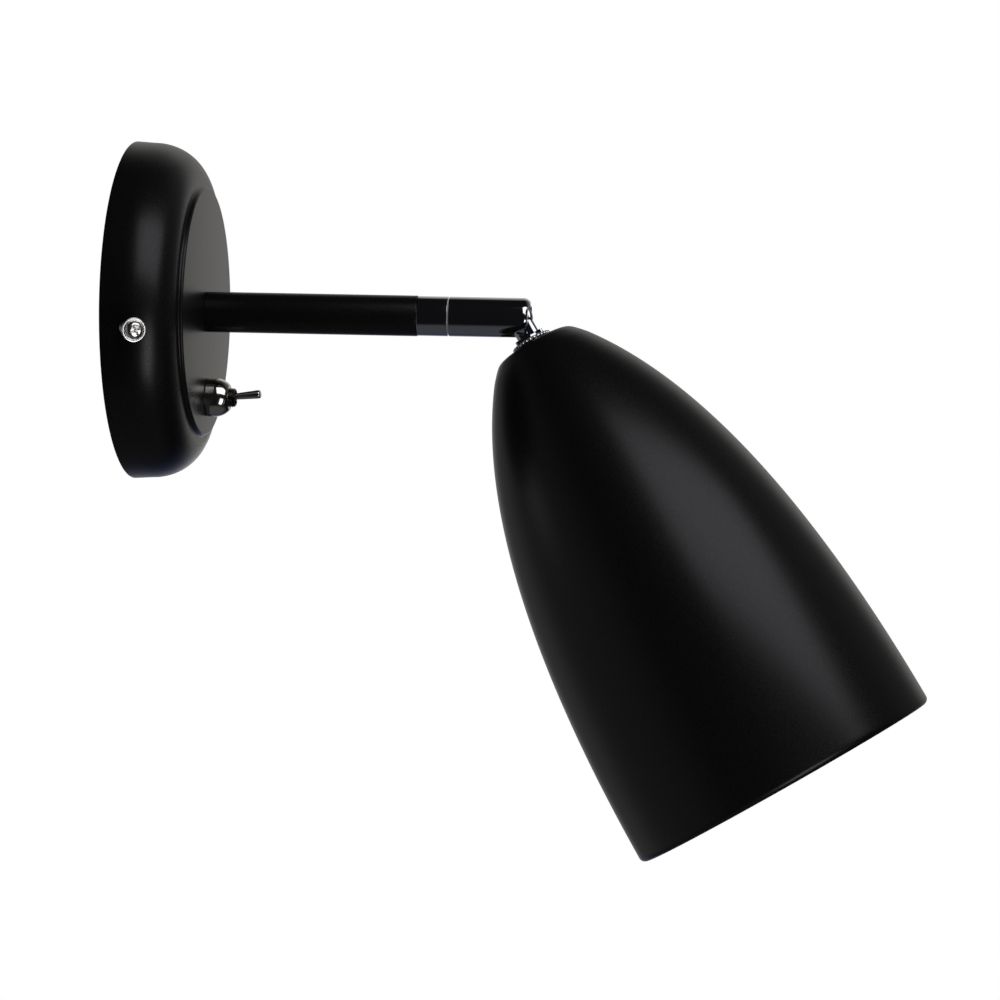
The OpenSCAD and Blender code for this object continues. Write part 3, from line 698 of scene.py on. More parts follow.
LINING = PowderCoat("shade_lining", (0.78, 0.78, 0.76), 0.45, 1.0e-6, 0.4, 0.03)
# A darker copy of nickel for the switch's bushing, which is nickel like its nut: the dark colour is painted shade.
PAINTED_SHADE_NICKEL = Plating("painted_shade_nickel", (0.20, 0.19, 0.18), 0.22, 0.05)
PACKED_FINISHES = (BLACK, CHROME, NICKEL, ZINC, BRASS, CREAM, WHITE, OPAL, FIBRE, LEAD_GREY, LEAD_GREEN,
                   SWITCH_BLUE)


# Pieces


@dataclass
class Piece:
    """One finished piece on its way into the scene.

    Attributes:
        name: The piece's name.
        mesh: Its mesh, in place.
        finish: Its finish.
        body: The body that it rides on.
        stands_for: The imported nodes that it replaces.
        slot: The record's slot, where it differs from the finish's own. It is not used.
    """

    name: str
    mesh: BMesh
    finish: Finish
    body: Body
    stands_for: Sequence[str] = ()
    slot: str = ""

    def show(self, lining: Optional[Finish] = None, edge_width: float = 0.0) -> None:
        """Put the piece in the scene.

        Args:
            lining: A second finish, for the faces whose material index is 1.
            edge_width: Width of the bevel on the sharp edges, if any.
        """
        shade_smooth(self.mesh)
        faces = len(self.mesh.faces)
        thing = plain_object(self.name, self.mesh)
        thing.data.materials.append(self.finish.material())
        if lining:
            thing.data.materials.append(lining.material())
        if edge_width:
            bevel = thing.modifiers.new("edges", "BEVEL")
            bevel.width, bevel.segments, bevel.limit_method = edge_width, 2, "ANGLE"
            bevel.angle_limit, bevel.harden_normals = math.radians(BEVELLED), True
        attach(thing, self.body.value)
        if self.stands_for:
            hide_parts(*self.stands_for)
        log.info("%s: %d faces on %s", self.name, faces, self.body.value)


# Rosette


@dataclass
class Rosette:
    """The dished cover on the wall: a straight side, a round shoulder and a raised disc."""

    side: float = 6.0 * MM
    lean: float = 0.4 * MM
    shoulder: float = 21.4 * MM
    disc: float = 40.5 * MM
    foot: float = 0.8 * MM
    rim: float = 0.8 * MM
    sheet: float = 1.2 * MM
    hole: float = 5.3 * MM
    edge: float = 0.3 * MM

    def crest(self) -> float:
        """Return the radius at which the shoulder is highest."""
        return self.disc + self.foot

    def bend(self) -> Pair:
        """Return the shoulder's width and rise."""
        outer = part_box("rosette")[1].y
        return outer - self.lean - self.crest(), self.shoulder - self.side

    def radius_at(self, x: float) -> float:
        """Return the shoulder's radius at a distance from the wall."""
        width, rise = self.bend()
        return self.crest() + width * math.sqrt(1 - ((x - self.side) / rise) ** 2)

    def outline(self) -> list[Corner]:
        """Return the sheet's outline, outside first."""
        low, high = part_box("rosette")
        outer, face, crest = high.y, high.x, self.crest()
        width, rise = self.bend()
        outside = [Corner(outer, low.x, self.edge), *arc((crest, self.side), (width, rise), 0, 90, 28)]
        step = [*arc((crest, self.shoulder + self.foot), (self.foot, self.foot), 270, 180, 6)[1:],
                *arc((self.disc - self.rim, face - self.rim), (self.rim, self.rim), 0, 90, 6)]
        inside = arc((crest, self.side), (width - self.sheet, rise - self.sheet), 90, 0, 16)
        return [*outside, *step, Corner(self.hole, face), Corner(self.hole, face - self.sheet),
                Corner(self.disc - self.sheet, face - self.sheet, self.edge), *inside,
                Corner(outer - self.sheet, low.x, self.edge)]

    def build(self) -> None:
        """Turn the cover and show it."""
        shell = placed(turned(self.outline(), 256), ALONG_ARM)
        Piece("rosette_cover", shell, BLACK, Body.BASE, ["rosette"]).show()


@dataclass
class SideScrews:
    """The two pan-head screws at the rosette's side, a little past the bracket's own turn.

    Each stands out of the rosette, so that part of its shank shows. Its head has a collar round a groove, and
    a dome with a cross recess. A blade of the recess is a half length and a half width, and its taper the
    shares of both that are left at its floor.
    """

    extra_turn: float = 2.6
    place_x: float = 8.4 * MM
    lean: float = 32.0
    stand: float = 6.2 * MM
    radius: float = 2.0 * MM
    shank: float = 1.8 * MM
    pitch: float = 0.7 * MM
    thread: float = 0.3 * MM
    length: float = 14.0 * MM
    head_radius: float = 3.8 * MM
    head: float = 2.6 * MM
    collar: float = 1.1 * MM
    collar_width: float = 0.55 * MM
    collar_edge: float = 0.2 * MM
    groove: float = 0.3 * MM
    groove_lean: float = 0.18 * MM
    groove_edges: Pair = (0.1 * MM, 0.08 * MM)
    dome_flat: float = 0.45
    blade: Pair = (2.15 * MM, 0.42 * MM)
    blade_taper: Pair = (0.45, 0.7)
    blade_floor: float = 0.7 * MM
    blade_over: float = 0.5 * MM
    blade_turn: float = 25.0

    def screw(self) -> BMesh:
        """Make a screw along +Z, with its head's underside at z = 0."""
        turns = int(self.length / self.pitch)
        thread = [corner for i in range(turns) for corner in (
            Corner(self.radius, -self.length + self.pitch * (i + 0.25)),
            Corner(self.radius - self.thread, -self.length + self.pitch * (i + 0.75)))]
        inner, foot = self.head_radius - self.collar_width, self.collar - self.groove
        flat = inner * self.dome_flat
        dome = arc((flat, foot), (inner - flat - self.groove, self.head - foot), 0, 90, 14)
        outline = [Corner(0, -self.length), *thread, Corner(self.shank, 0),
                   Corner(self.head_radius, 0, self.collar_edge),
                   Corner(self.head_radius, self.collar, self.collar_edge),
                   Corner(inner, self.collar, self.groove_edges[0]),
                   Corner(inner - self.groove_lean, foot, self.groove_edges[1]),
                   *dome, Corner(0, self.head)]
        return combined(turned(outline, 64), self.recess())

    def recess(self) -> list[BMesh]:
        """Make the cutters of the cross recess: two tapered blades."""
        half_long, half_wide = self.blade
        top = self.head + self.blade_over
        blades = []
        for turn in (0, 90):
            blade = block((-half_long, -half_wide, self.blade_floor), (half_long, half_wide, top))
            lower = [v for v in blade.verts if v.co.z < self.head * 0.5]
            bmesh.ops.scale(blade, vec=(*self.blade_taper, 1.0), verts=lower)
            blades.append(placed(blade, about("Z", turn)))
        return blades

    def build(self) -> None:
        """Place both screws and show them."""
        radius = Rosette().radius_at(self.place_x)
        screws = []
        for half_turn in (0, 180):
            around = about("X", ROSETTE_TURN + self.extra_turn + half_turn)
            screws.append(placed(self.screw(), around, shift(self.place_x, -radius, 0), about("Z", self.lean),
                                 about("X", 90), shift(z=self.stand), about("Z", self.blade_turn)))
        # The screws are zinc; their lighter colour is a painted highlight.
        Piece("side_screw_pair", joined(screws), PAINTED_HIGHLIGHT_ZINC, Body.BASE, ["side_screws"], "zinc").show()


# Toggle switch


@dataclass
class ToggleSwitch:
    """The dome nut, the threaded bushing and the bat lever of the toggle switch.

    The thread's crest and root are shares of its pitch, and the lever's tail is a radius and a length.
    """

    skirt: float = 2.6 * MM
    skirt_bevel: Pair = (0.15 * MM, 0.35 * MM)
    skirt_edge: float = 0.12 * MM
    edge: float = 0.1 * MM
    hole_room: float = 0.05 * MM
    pitch: float = 0.635 * MM
    thread: float = 0.32 * MM
    crest: Pair = (0.3, 0.42)
    root: float = 0.86
    plain_end: float = 0.5 * MM
    end_step: float = 0.1 * MM
    chamfer: float = 0.45 * MM
    chamfer_edge: float = 0.08 * MM
    bore: float = 2.35 * MM
    mouth: Pair = (0.2 * MM, 0.3 * MM)
    ball: float = 1.9 * MM
    tail: Pair = (0.8 * MM, 4.5 * MM)
    lever_root: float = 1.05 * MM
    root_z: float = 4.0 * MM
    swell: float = 0.12 * MM
    swell_z: float = 6.0 * MM
    lever_tip: float = 1.4 * MM
    lever_length: float = 12.2 * MM
    tip_length: float = 1.0 * MM
    tip_round: float = 0.55 * MM
    lean: float = 12.5

    def dome_nut(self) -> BMesh:
        """Make the dome nut: a skirt with a bevelled foot, and a round dome with a hole."""
        low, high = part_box("dome_nut")
        radius, rise = (high.y - low.y) / 2, high.x - low.x - self.skirt
        end = math.degrees(math.asin(min(1.0, rise / radius)))
        dome = arc((0, low.x + self.skirt), (radius, radius), 0, end, 24)
        hole, top = self.bushing_radius() + self.hole_room, dome[-1]
        outline = [Corner(radius - self.skirt_bevel[0], low.x, self.skirt_edge),
                   Corner(radius, low.x + self.skirt_bevel[1], self.edge), *dome[:-1],
                   Corner(top.r, top.z, self.skirt_edge), Corner(hole, top.z, self.edge), Corner(hole, low.x)]
        return turned(outline, 128)

    def bushing_radius(self) -> float:
        """Return the bushing's thread radius."""
        low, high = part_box("switch_bushing")
        return (high.y - low.y) / 2

    def bushing(self) -> BMesh:
        """Make the bushing: a threaded tube with a chamfered end."""
        low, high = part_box("switch_bushing")
        radius = self.bushing_radius()
        inner, neck = radius - self.thread, radius - self.end_step
        turns = int((high.x - low.x - self.plain_end) / self.pitch)
        thread = [Corner(r, low.x + self.pitch * (i + share)) for i in range(turns)
                  for r, share in zip((radius, radius, inner), (*self.crest, self.root))]
        outline = [Corner(inner, low.x), *thread, Corner(neck, high.x - self.chamfer),
                   Corner(neck - self.chamfer, high.x, self.chamfer_edge),
                   Corner(self.bore + self.mouth[0], high.x, self.edge),
                   Corner(self.bore, high.x - self.mouth[1]), Corner(self.bore, low.x)]
        return turned(outline, 96)

    def lever(self) -> BMesh:
        """Make the lever: a tail and a ball in the bushing, and a stem that swells to a round tip."""
        tip, (tail_radius, tail_length) = self.lever_length, self.tail
        outline = [Corner(0, -tail_length), Corner(tail_radius, -tail_length),
                   *arc((0, 0), (self.ball, self.ball), -60, 52, 14), Corner(self.lever_root, self.root_z),
                   Corner(self.lever_root + self.swell, self.swell_z),
                   Corner(self.lever_tip, tip - self.tip_length), Corner(self.lever_tip, tip, self.tip_round),
                   Corner(0, tip)]
        return turned(outline, 64)

    def build(self) -> None:
        """Show the nut, the bushing and the lever."""
        pivot = joint("switch_toggle")["pos_m"][0]
        nut, bushing = placed(self.dome_nut(), SWITCH), placed(self.bushing(), SWITCH)
        lever = placed(self.lever(), SWITCH, shift(z=pivot), about("X", -self.lean))
        Piece("switch_dome_nut", nut, NICKEL, Body.BASE, ["dome_nut"]).show()
        # The bushing is nickel; its darker colour is painted shade.
        Piece("switch_thread", bushing, PAINTED_SHADE_NICKEL, Body.BASE, ["switch_bushing"], "nickel").show()
        Piece("switch_bat", lever, NICKEL, Body.TOGGLE, ["switch_lever"]).show()


# Arm and swivel


@dataclass
class Arm:
    """The arm's tube and the chromed ring that ends it."""

    wall: float = 1.0 * MM
    edge: float = 0.22 * MM
    ring_bore: float = 3.52 * MM
    ring_edge: float = 0.4 * MM
    seam_edge: float = 0.08 * MM

    def build(self) -> None:
        """Show the tube and the ring."""
        low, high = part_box("arm_tube")
        radius, bore = high.y, high.y - self.wall
        tube = turned([Corner(radius, low.x, self.edge), Corner(radius, high.x, self.edge),
                       Corner(bore, high.x), Corner(bore, low.x)], 160)
        Piece("arm_sleeve", placed(tube, ALONG_ARM), BLACK, Body.BASE, ["arm_tube"]).show()
        low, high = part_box("swivel_ring")
        radius, bore = high.y, self.ring_bore
        ring = turned([Corner(radius, low.x, self.ring_edge), Corner(radius, high.x, self.seam_edge),
                       Corner(bore, high.x), Corner(bore, low.x)], 160, 6)
        Piece("fixed_ring", placed(ring, ALONG_ARM), CHROME, Body.BASE, ["swivel_ring"]).show()


@dataclass
class Knuckle:
    """The slotted knuckle that turns on the ring and carries the shade's pivot.

    The near cheek ends short of the eye that turns beside it, and the roof reaches over both.
    """

    seam_edge: float = 0.08 * MM
    end_round: float = 2.5 * MM
    edge: float = 0.1 * MM
    slot: float = 4.5 * MM
    eye_room: float = 0.3 * MM
    cheek_end: float = 3.4 * MM
    cheek_round: float = 1.6 * MM
    cheek_top: float = 3.0 * MM
    hollow: float = 5.4 * MM
    wall: float = 3.6 * MM
    web: float = 1.0 * MM
    throat: float = 3.55 * MM
    pin_cover: float = 1.3 * MM
    pin_edge: float = 0.25 * MM
    pin_fit: float = 0.02 * MM

    def body(self) -> BMesh:
        """Turn the knuckle and cut its slot, its hollow, its bore and its near cheek."""
        low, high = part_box("knuckle_body")
        radius, reach = high.y, Neck().eye + self.eye_room
        back = TILT["pos_m"][0] - reach
        outline = [Corner(0, low.x), Corner(radius, low.x, self.seam_edge),
                   Corner(radius, high.x, self.end_round), Corner(0, high.x)]
        blank = placed(turned(outline, 160, 12), ALONG_ARM)
        slot = block((back, -self.slot / 2, -2 * radius), (high.x + radius, self.slot / 2, reach))
        hollow = placed(rod(self.hollow, low.x + self.wall, back - self.web), ALONG_ARM)
        throat = placed(rod(self.throat, low.x - OVERREACH, back + OVERREACH), ALONG_ARM)
        return combined(blank, [slot, hollow, throat, self.pin(self.pin_fit), self.cheek(radius)])

    def cheek(self, radius: float) -> BMesh:
        """Make the cutter that shortens the near cheek and rounds its end.

        Args:
            radius: The knuckle's radius.

        Returns:
            The cutter, in place.
        """
        middle = (self.cheek_end - self.cheek_round, self.cheek_round - radius)
        bend = arc(middle, (self.cheek_round, self.cheek_round), -90, 0, 14)
        inner, far = -self.slot / 4, 2 * radius
        corners = [(c.r, c.z) for c in bend]
        corners += [(self.cheek_end, inner), (far, inner), (far, -far), (bend[0].r, -far)]
        return placed(prism(corners, -far, self.cheek_top), shift(*TILT["pos_m"]))

    def pin(self, extra: float = 0.0) -> BMesh:
        """Make the pivot pin, which enters from the far side and stays under the near cheek's skin.

        Args:
            extra: How much larger than the pin it is, for the hole that it sits in.

        Returns:
            The pin, in place.
        """
        low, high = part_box("pivot_pin")
        radius, edge = (high.x - low.x) / 2 + extra, 0.0 if extra else self.pin_edge
        near, far = -high.y + self.pin_cover - extra, 2 * high.y if extra else high.y
        return placed(rod(radius, near, far, edge=edge), shift(*TILT["pos_m"]), about("X", -90))

    def build(self) -> None:
        """Show the knuckle and its pin."""
        Piece("knuckle_fork", self.body(), CHROME, Body.KNUCKLE, ["knuckle_body"]).show(edge_width=self.edge)
        Piece("knuckle_pin", self.pin(), CHROME, Body.KNUCKLE, ["pivot_pin"]).show()


# Head


def head_length(node: str) -> float:
    """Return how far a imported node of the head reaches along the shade's axis."""
    back = HEAD.inverted()
    return max((back @ v.co).z for v in frame["nodes"][node].data.vertices)


@dataclass
class Neck:
    """The tongue in the slot, its flange and stem, and the knurled ring below."""

    eye: float = 4.85 * MM
    half_width: float = 3.75 * MM
    thickness: float = 3.7 * MM
    edge: float = 0.12 * MM
    flange_z: float = 7.3 * MM
    flange: Pair = (4.85 * MM, 3.7 * MM)
    flange_corner: float = 0.7 * MM
    flange_h: float = 1.3 * MM
    stem: float = 4.0 * MM
    stem_edge: float = 0.3 * MM
    bar_overlap: float = 0.5 * MM
    stem_overlap: float = 1.0 * MM
    bore: float = 2.5 * MM
    knurl: float = 6.9 * MM
    knurl_h: float = 1.3 * MM
    foot: float = 5.5 * MM
    shade_z: float = 11.0 * MM
    beads: int = 27
    bead: float = 0.78 * MM
    bead_steps: int = 14
    bead_levels: int = 12

    def tongue_mesh(self) -> BMesh:
        """Make the tongue: a flat bar with round edges and an eye, on a flange and a hollow stem."""
        half, top, end = self.thickness / 2, self.flange_z + self.flange_h, head_length("pivot_tongue")
        bar = prism(round_block(self.half_width, half, half), 0, self.flange_z + self.bar_overlap)
        rim = arc((self.eye - half, 0), (half, half), -90, 90, 20)
        eye = placed(turned([Corner(0, -half), *rim, Corner(0, half)], 96), about("X", 90))
        flange = prism(round_block(*self.flange, self.flange_corner), self.flange_z, top)
        stem = rod(self.stem, top - self.stem_overlap, end, 64, self.stem_edge)
        tongue = combined(bar, [eye, flange, stem], Join.FUSE)
        return combined(tongue, [rod(self.bore, top, end + OVERREACH)])

    def bead_radius(self, i: int, z: float) -> float:
        """Return the beaded rim's radius.

        Args:
            i: The step round the rim.
            z: Height over the ring's start.

        Returns:
            The radius there.
        """
        rim, steps = self.knurl - self.bead, self.bead_steps
        aside = rim * math.pi / self.beads * (2 * (i % steps) / steps - 1)
        bulge = self.bead ** 2 - aside ** 2 - (z - self.knurl_h / 2) ** 2
        return rim + math.sqrt(max(0.0, bulge))

    def knurled_ring(self) -> BMesh:
        """Make the knurled ring: a disc with a row of round beads on its rim, over a plain foot."""
        start, count = self.flange_z + self.flange_h, self.beads * self.bead_steps
        mesh = bmesh.new()
        rows = []
        for level in range(self.bead_levels + 1):
            z = self.knurl_h * level / self.bead_levels
            row = []
            for i in range(count):
                angle, radius = math.tau * i / count, self.bead_radius(i, z)
                row.append(mesh.verts.new((radius * math.cos(angle), radius * math.sin(angle), start + z)))
            rows.append(row)
        for z in (start + self.knurl_h, self.shade_z):
            spokes = [v.co.to_2d().normalized() for v in rows[0]]
            rows.append([mesh.verts.new((s.x * self.foot, s.y * self.foot, z)) for s in spokes])
        for low, high in zip(rows, rows[1:]):
            for i in range(count):
                mesh.faces.new((low[i - 1], low[i], high[i], high[i - 1]))
        mesh.faces.new(rows[0])
        mesh.faces.new(rows[-1])
        finish_shell(mesh)
        return mesh

    def build(self) -> None:
        """Show the tongue and the ring."""
        tongue, ring = placed(self.tongue_mesh(), HEAD), placed(self.knurled_ring(), HEAD)
        Piece("tongue_neck", tongue, CHROME, Body.HEAD, ["pivot_tongue"]).show(edge_width=self.edge)
        # The beads are chrome; their lighter colour is a painted highlight.
        Piece("beaded_ring", ring, PAINTED_HIGHLIGHT_CHROME, Body.HEAD, ["knurled_ring"], "chrome").show()


@dataclass
class Shade:
    """The spun shade: a flat top with a round corner, a side on one curve, and a rolled lip.

    The inside's curve starts some shares of the inset in from the outside's, and the top's corner bends
    towards two points that are shares of its size past the top's edge.
    """

    top_z: float = 11.0 * MM
    length: float = 160.3 * MM
    top: float = 13.95 * MM
    mouth: float = 51.9 * MM
    top_angle: float = 39.6
    top_pull: float = 46.6 * MM
    mouth_pull: float = 61.4 * MM
    top_inset: Pair = (1.25, 0.2)
    sheet: float = 1.1 * MM
    corner: float = 1.6 * MM
    corner_steps: int = 12
    corner_pulls: tuple[Pair, Pair] = ((-0.3, 0.0), (0.18, 0.45))
    roll: float = 1.9 * MM
    roll_turn: float = 235.0
    roll_gap: float = 0.3 * MM
    stem: float = 4.3 * MM
    outer_steps: int = 72
    inner_steps: int = 48
    corner_reach: int = 3

    def side(self, inset: float, steps: int) -> list[Corner]:
        """Set corners down the side's curve.

        Args:
            inset: How far the curve is set in from the outside.
            steps: Number of steps from the top to the mouth.

        Returns:
            The corners, without the one at the mouth.
        """
        angle = math.radians(self.top_angle)
        start = Vector((self.top - inset * self.top_inset[0], self.top_z + inset * self.top_inset[1]))
        end = Vector((self.mouth - inset, self.top_z + self.length))
        lean = Vector((math.sin(angle), math.cos(angle)))
        pulls = (start + self.top_pull * lean, end - Vector((0, self.mouth_pull)))
        return [bezier(start, pulls, end, i / steps) for i in range(steps)]

    def round_corner(self, joins: Corner) -> list[Corner]:
        """Set corners from the flat top to where the side's curve takes over.

        Args:
            joins: The first corner that is kept of the side.

        Returns:
            The corners, without that one.
        """
        start, end = Vector((self.top - self.corner, self.top_z)), Vector((joins.r, joins.z))
        pulls = tuple(Vector((self.top + self.corner * r, self.top_z + self.corner * z))
                      for r, z in self.corner_pulls)
        return [bezier(start, pulls, end, i / self.corner_steps) for i in range(self.corner_steps)]

    def outline(self) -> list[Corner]:
        """Return the sheet's outline: outside from the stem to the lip, then inside back to the stem."""
        outer = self.side(0.0, self.outer_steps)[self.corner_reach:]
        inner = self.side(self.sheet, self.inner_steps)[::-1]
        lip_z = self.top_z + self.length + self.sheet / 2 - self.roll
        lip = arc((self.mouth - self.roll, lip_z), (self.roll, self.roll), 0, self.roll_turn, 26)
        return [Corner(self.stem, self.top_z), *self.round_corner(outer[0]),
                *[c for c in outer if c.z < lip_z - self.roll_gap], *lip,
                *[c for c in inner if c.z < lip[-1].z - self.roll_gap],
                Corner(self.stem, self.top_z + self.sheet)]

    def build(self) -> None:
        """Turn the shade, mark its inside and show it."""
        mesh = turned(self.outline(), 256)
        for face in mesh.faces:
            centre = face.calc_center_median()
            inward = face.normal.x * centre.x + face.normal.y * centre.y < 0
            if inward or (face.normal.z > 0.5 and centre.z < self.top_z + 2 * self.sheet):
                face.material_index = 1
        Piece("shade_shell", placed(mesh, HEAD), BLACK, Body.HEAD, ["shade"]).show(lining=LINING)


@dataclass
class Lamp:
    """What the shade hides: the lampholder's cap and sleeve, and the bulb's housing and globe.

    The cap's dome is in shares of the cap's height: its rise outside, and its middle and rise inside. The
    housing flares out from its neck, and its bowl's corner lies in from and below the globe's rim. Its
    rounds are those of the neck, the flare, the bowl and the rim.
    """

    cap_z: float = 17.1 * MM
    cap: float = 13.0 * MM
    cap_bore: float = 4.02 * MM
    cap_sheet: float = 2.0 * MM
    cap_edge: float = 0.2 * MM
    dome: float = 0.55
    dome_inside: Pair = (0.6, 0.45)
    sleeve: float = 33.0 * MM
    socket: float = 3.0 * MM
    radius: float = 13.8 * MM
    wall: float = 1.6 * MM
    edge: float = 0.3 * MM
    rings: int = 9
    ring_start: float = 6.0 * MM
    ring_pitch: float = 2.4 * MM
    ring_marks: tuple[float, ...] = (0.0, 0.5 * MM, 1.4 * MM, 1.9 * MM)
    ring_depth: float = 0.45 * MM
    ring_edge: float = 0.15 * MM
    bulb: float = 22.5 * MM
    bulb_length: float = 54.0 * MM
    globe_cut: float = 20.0
    neck: float = 8.8 * MM
    neck_length: float = 2.0 * MM
    flare: Pair = (1.6 * MM, 8.0 * MM)
    bowl: Pair = (3.3 * MM, 7.0 * MM)
    rim: float = 0.6 * MM
    rounds: tuple[float, ...] = (1.0 * MM, 3.0 * MM, 2.5 * MM, 0.4 * MM)

    def sleeve_z(self) -> float:
        """Return where the sleeve starts along the shade's axis."""
        return self.cap_z + self.cap

    def end_z(self) -> float:
        """Return where the sleeve ends and the bulb starts."""
        return self.sleeve_z() + self.sleeve

    def globe_z(self) -> float:
        """Return where the globe's centre is."""
        return self.end_z() + self.bulb_length - self.bulb

    def globe_rim(self) -> Corner:
        """Return where the globe meets its housing."""
        cut = math.radians(self.globe_cut)
        return Corner(self.bulb * math.cos(cut), self.globe_z() - self.bulb * math.sin(cut))

    def cap_mesh(self) -> BMesh:
        """Turn the lampholder's domed cap."""
        half, sleeve_z, rise = self.radius / 2, self.sleeve_z(), self.cap * self.dome
        middle, inner_rise = (self.cap * share for share in self.dome_inside)
        outside = arc((half, self.cap_z + rise), (half, rise), 270, 360, 14)[1:]
        inside = arc((half, self.cap_z + middle), (half - self.wall, inner_rise), 360, 270, 8)
        return turned([Corner(self.cap_bore, self.cap_z, self.cap_edge), Corner(half, self.cap_z), *outside,
                       Corner(self.radius, sleeve_z, self.edge), Corner(self.radius - self.wall, sleeve_z),
                       *inside, Corner(self.cap_bore, self.cap_z + self.cap_sheet)], 96)

    def sleeve_mesh(self) -> BMesh:
        """Turn the lampholder's sleeve, with grooves for the grip and a socket that enters the cap."""
        start, end, inner = self.sleeve_z(), self.end_z(), self.radius - self.wall
        bore, floor = self.radius - 2 * self.wall, self.radius - self.ring_depth
        groove = list(zip((self.radius, floor, floor, self.radius), self.ring_marks))
        rings = [Corner(r, start + self.ring_start + self.ring_pitch * i + mark, self.ring_edge)
                 for i in range(self.rings) for r, mark in groove]
        return turned([Corner(self.radius, start, self.edge), *rings, Corner(self.radius, end, 2 * self.edge),
                       Corner(bore, end, 2 * self.edge), Corner(bore, start - self.socket),
                       Corner(inner, start - self.socket), Corner(inner, start)], 96, 2)

    def globe(self) -> BMesh:
        """Turn the bulb's globe."""
        centre = self.globe_z()
        dome = arc((0, centre), (self.bulb, self.bulb), -self.globe_cut, 90, 30)[:-1]
        return turned([Corner(0, self.globe_rim().z), *dome, Corner(0, centre + self.bulb)], 96)

    def housing(self) -> BMesh:
        """Turn the bulb's housing, which flares from its neck to the globe."""
        start, end = self.end_z(), self.globe_rim()
        neck_round, flare_round, bowl_round, rim_round = self.rounds
        side = [Corner(self.neck, start, self.edge), Corner(self.neck, start + self.neck_length, neck_round),
                Corner(self.neck + self.flare[0], start + self.flare[1], flare_round),
                Corner(end.r - self.bowl[0], end.z - self.bowl[1], bowl_round),
                Corner(end.r, end.z - self.rim, rim_round), Corner(end.r, end.z)]
        return turned([Corner(0, start), *side, Corner(0, end.z)], 96)

    def build(self) -> None:
        """Show the lampholder and the bulb."""
        for name, mesh, finish, node in (
                ("lampholder_cap", self.cap_mesh(), CREAM, "holder_cap"),
                ("lampholder_sleeve", self.sleeve_mesh(), CREAM, "holder_sleeve"),
                ("bulb_opal_globe", self.globe(), OPAL, "bulb_globe"),
                ("bulb_white_housing", self.housing(), WHITE, "bulb_housing")):
            Piece(name, placed(mesh, HEAD), finish, Body.HEAD, [node]).show()


# The pieces that stay as packed


def dress_packed_nodes() -> None:
    """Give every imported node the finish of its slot."""
    by_slot = {finish.slot: finish for finish in PACKED_FINISHES}
    slots = {part["node"]: part["material_slot"] for part in frame["record"]["subparts"]}
    for name, thing in frame["nodes"].items():
        material = by_slot[slots[name]].material()
        if thing.data.materials:
            for index in range(len(thing.data.materials)):
                thing.data.materials[index] = material
        else:
            thing.data.materials.append(material)
    log.info("dressed %d packed nodes", len(slots))


# Studio


def toward(azimuth: float, elevation: float) -> Vector:
    """Find a direction in the studio.

    Args:
        azimuth: Degrees about the vertical, 0 towards the camera and 90 along the arm.
        elevation: Degrees above the horizon.

    Returns:
        The unit vector that way.
    """
    a, e = math.radians(azimuth), math.radians(elevation)
    return Vector((math.sin(a) * math.cos(e), -math.cos(a) * math.cos(e), math.sin(e)))


@dataclass(frozen=True)
class Glow:
    """A soft patch of the studio that glossy surfaces reflect.

    Attributes:
        azimuth: Direction in degrees, 0 towards the camera and 90 along the arm.
        elevation: Degrees above the horizon.
        inner: Angle from its middle at which it starts to fade.
        outer: Angle at which it has faded out.
        color: Light that it adds.
    """

    azimuth: float
    elevation: float
    inner: float
    outer: float
    color: Triple

    def shine(self, tree: ShaderTree, direction: NodeSocket) -> NodeSocket:
        """Add the patch's nodes to the world.

        Args:
            tree: The world's node tree.
            direction: The direction that is looked in.

        Returns:
            The patch's light that way.
        """
        dot = tree.add("ShaderNodeVectorMath", operation="DOT_PRODUCT")
        dot.inputs[1].default_value = toward(self.azimuth, self.elevation)
        tree.link(direction, dot.inputs[0])
        fade = tree.add("ShaderNodeMapRange", interpolation_type="SMOOTHSTEP")
        fade.inputs["From Min"].default_value = math.cos(math.radians(self.outer))
        fade.inputs["From Max"].default_value = math.cos(math.radians(self.inner))
        tree.link(dot.outputs["Value"], fade.inputs["Value"])
        tint = tree.add("ShaderNodeVectorMath", operation="SCALE")
        tint.inputs[0].default_value = self.color
        tree.link(fade.outputs["Result"], tint.inputs["Scale"])
        return tint.outputs["Vector"]


@dataclass(frozen=True)
class Softbox:
    """A flat studio lamp that faces the object.

    Attributes:
        name: The lamp's name.
        azimuth: Direction in degrees, 0 towards the camera and 90 along the arm.
        elevation: Degrees above the horizon.
        distance: Distance from the object.
        size: Width and height.
        radiance: How bright its face is, where 1 is white.
        mirrored: Whether glossy surfaces show it.
        roll: Turn about the line to the object, in degrees.
        color: Tint of its light.
    """

    name: str
    azimuth: float
    elevation: float
    distance: float
    size: Pair
    radiance: float
    mirrored: bool = True
    roll: float = 0.0
    color: Triple = (0.95, 0.95, 1.0)

    def hang(self, target: Vector) -> None:
        """Hang the lamp so that it faces a point.

        Args:
            target: The point.
        """
        out = toward(self.azimuth, self.elevation)
        light = bpy.data.lights.new(self.name, "AREA")
        light.shape, light.size, light.size_y = "RECTANGLE", *self.size
        light.energy = self.radiance * math.pi * self.size[0] * self.size[1]
        light.color = self.color
        lamp = bpy.data.objects.new(self.name, light)
        turn = out.to_track_quat("Z", "Y").to_matrix().to_4x4() @ about("Z", self.roll)
        lamp.matrix_world = shift(*(target + out * self.distance)) @ turn
        lamp.visible_glossy = self.mirrored
        bpy.context.scene.collection.objects.link(lamp)


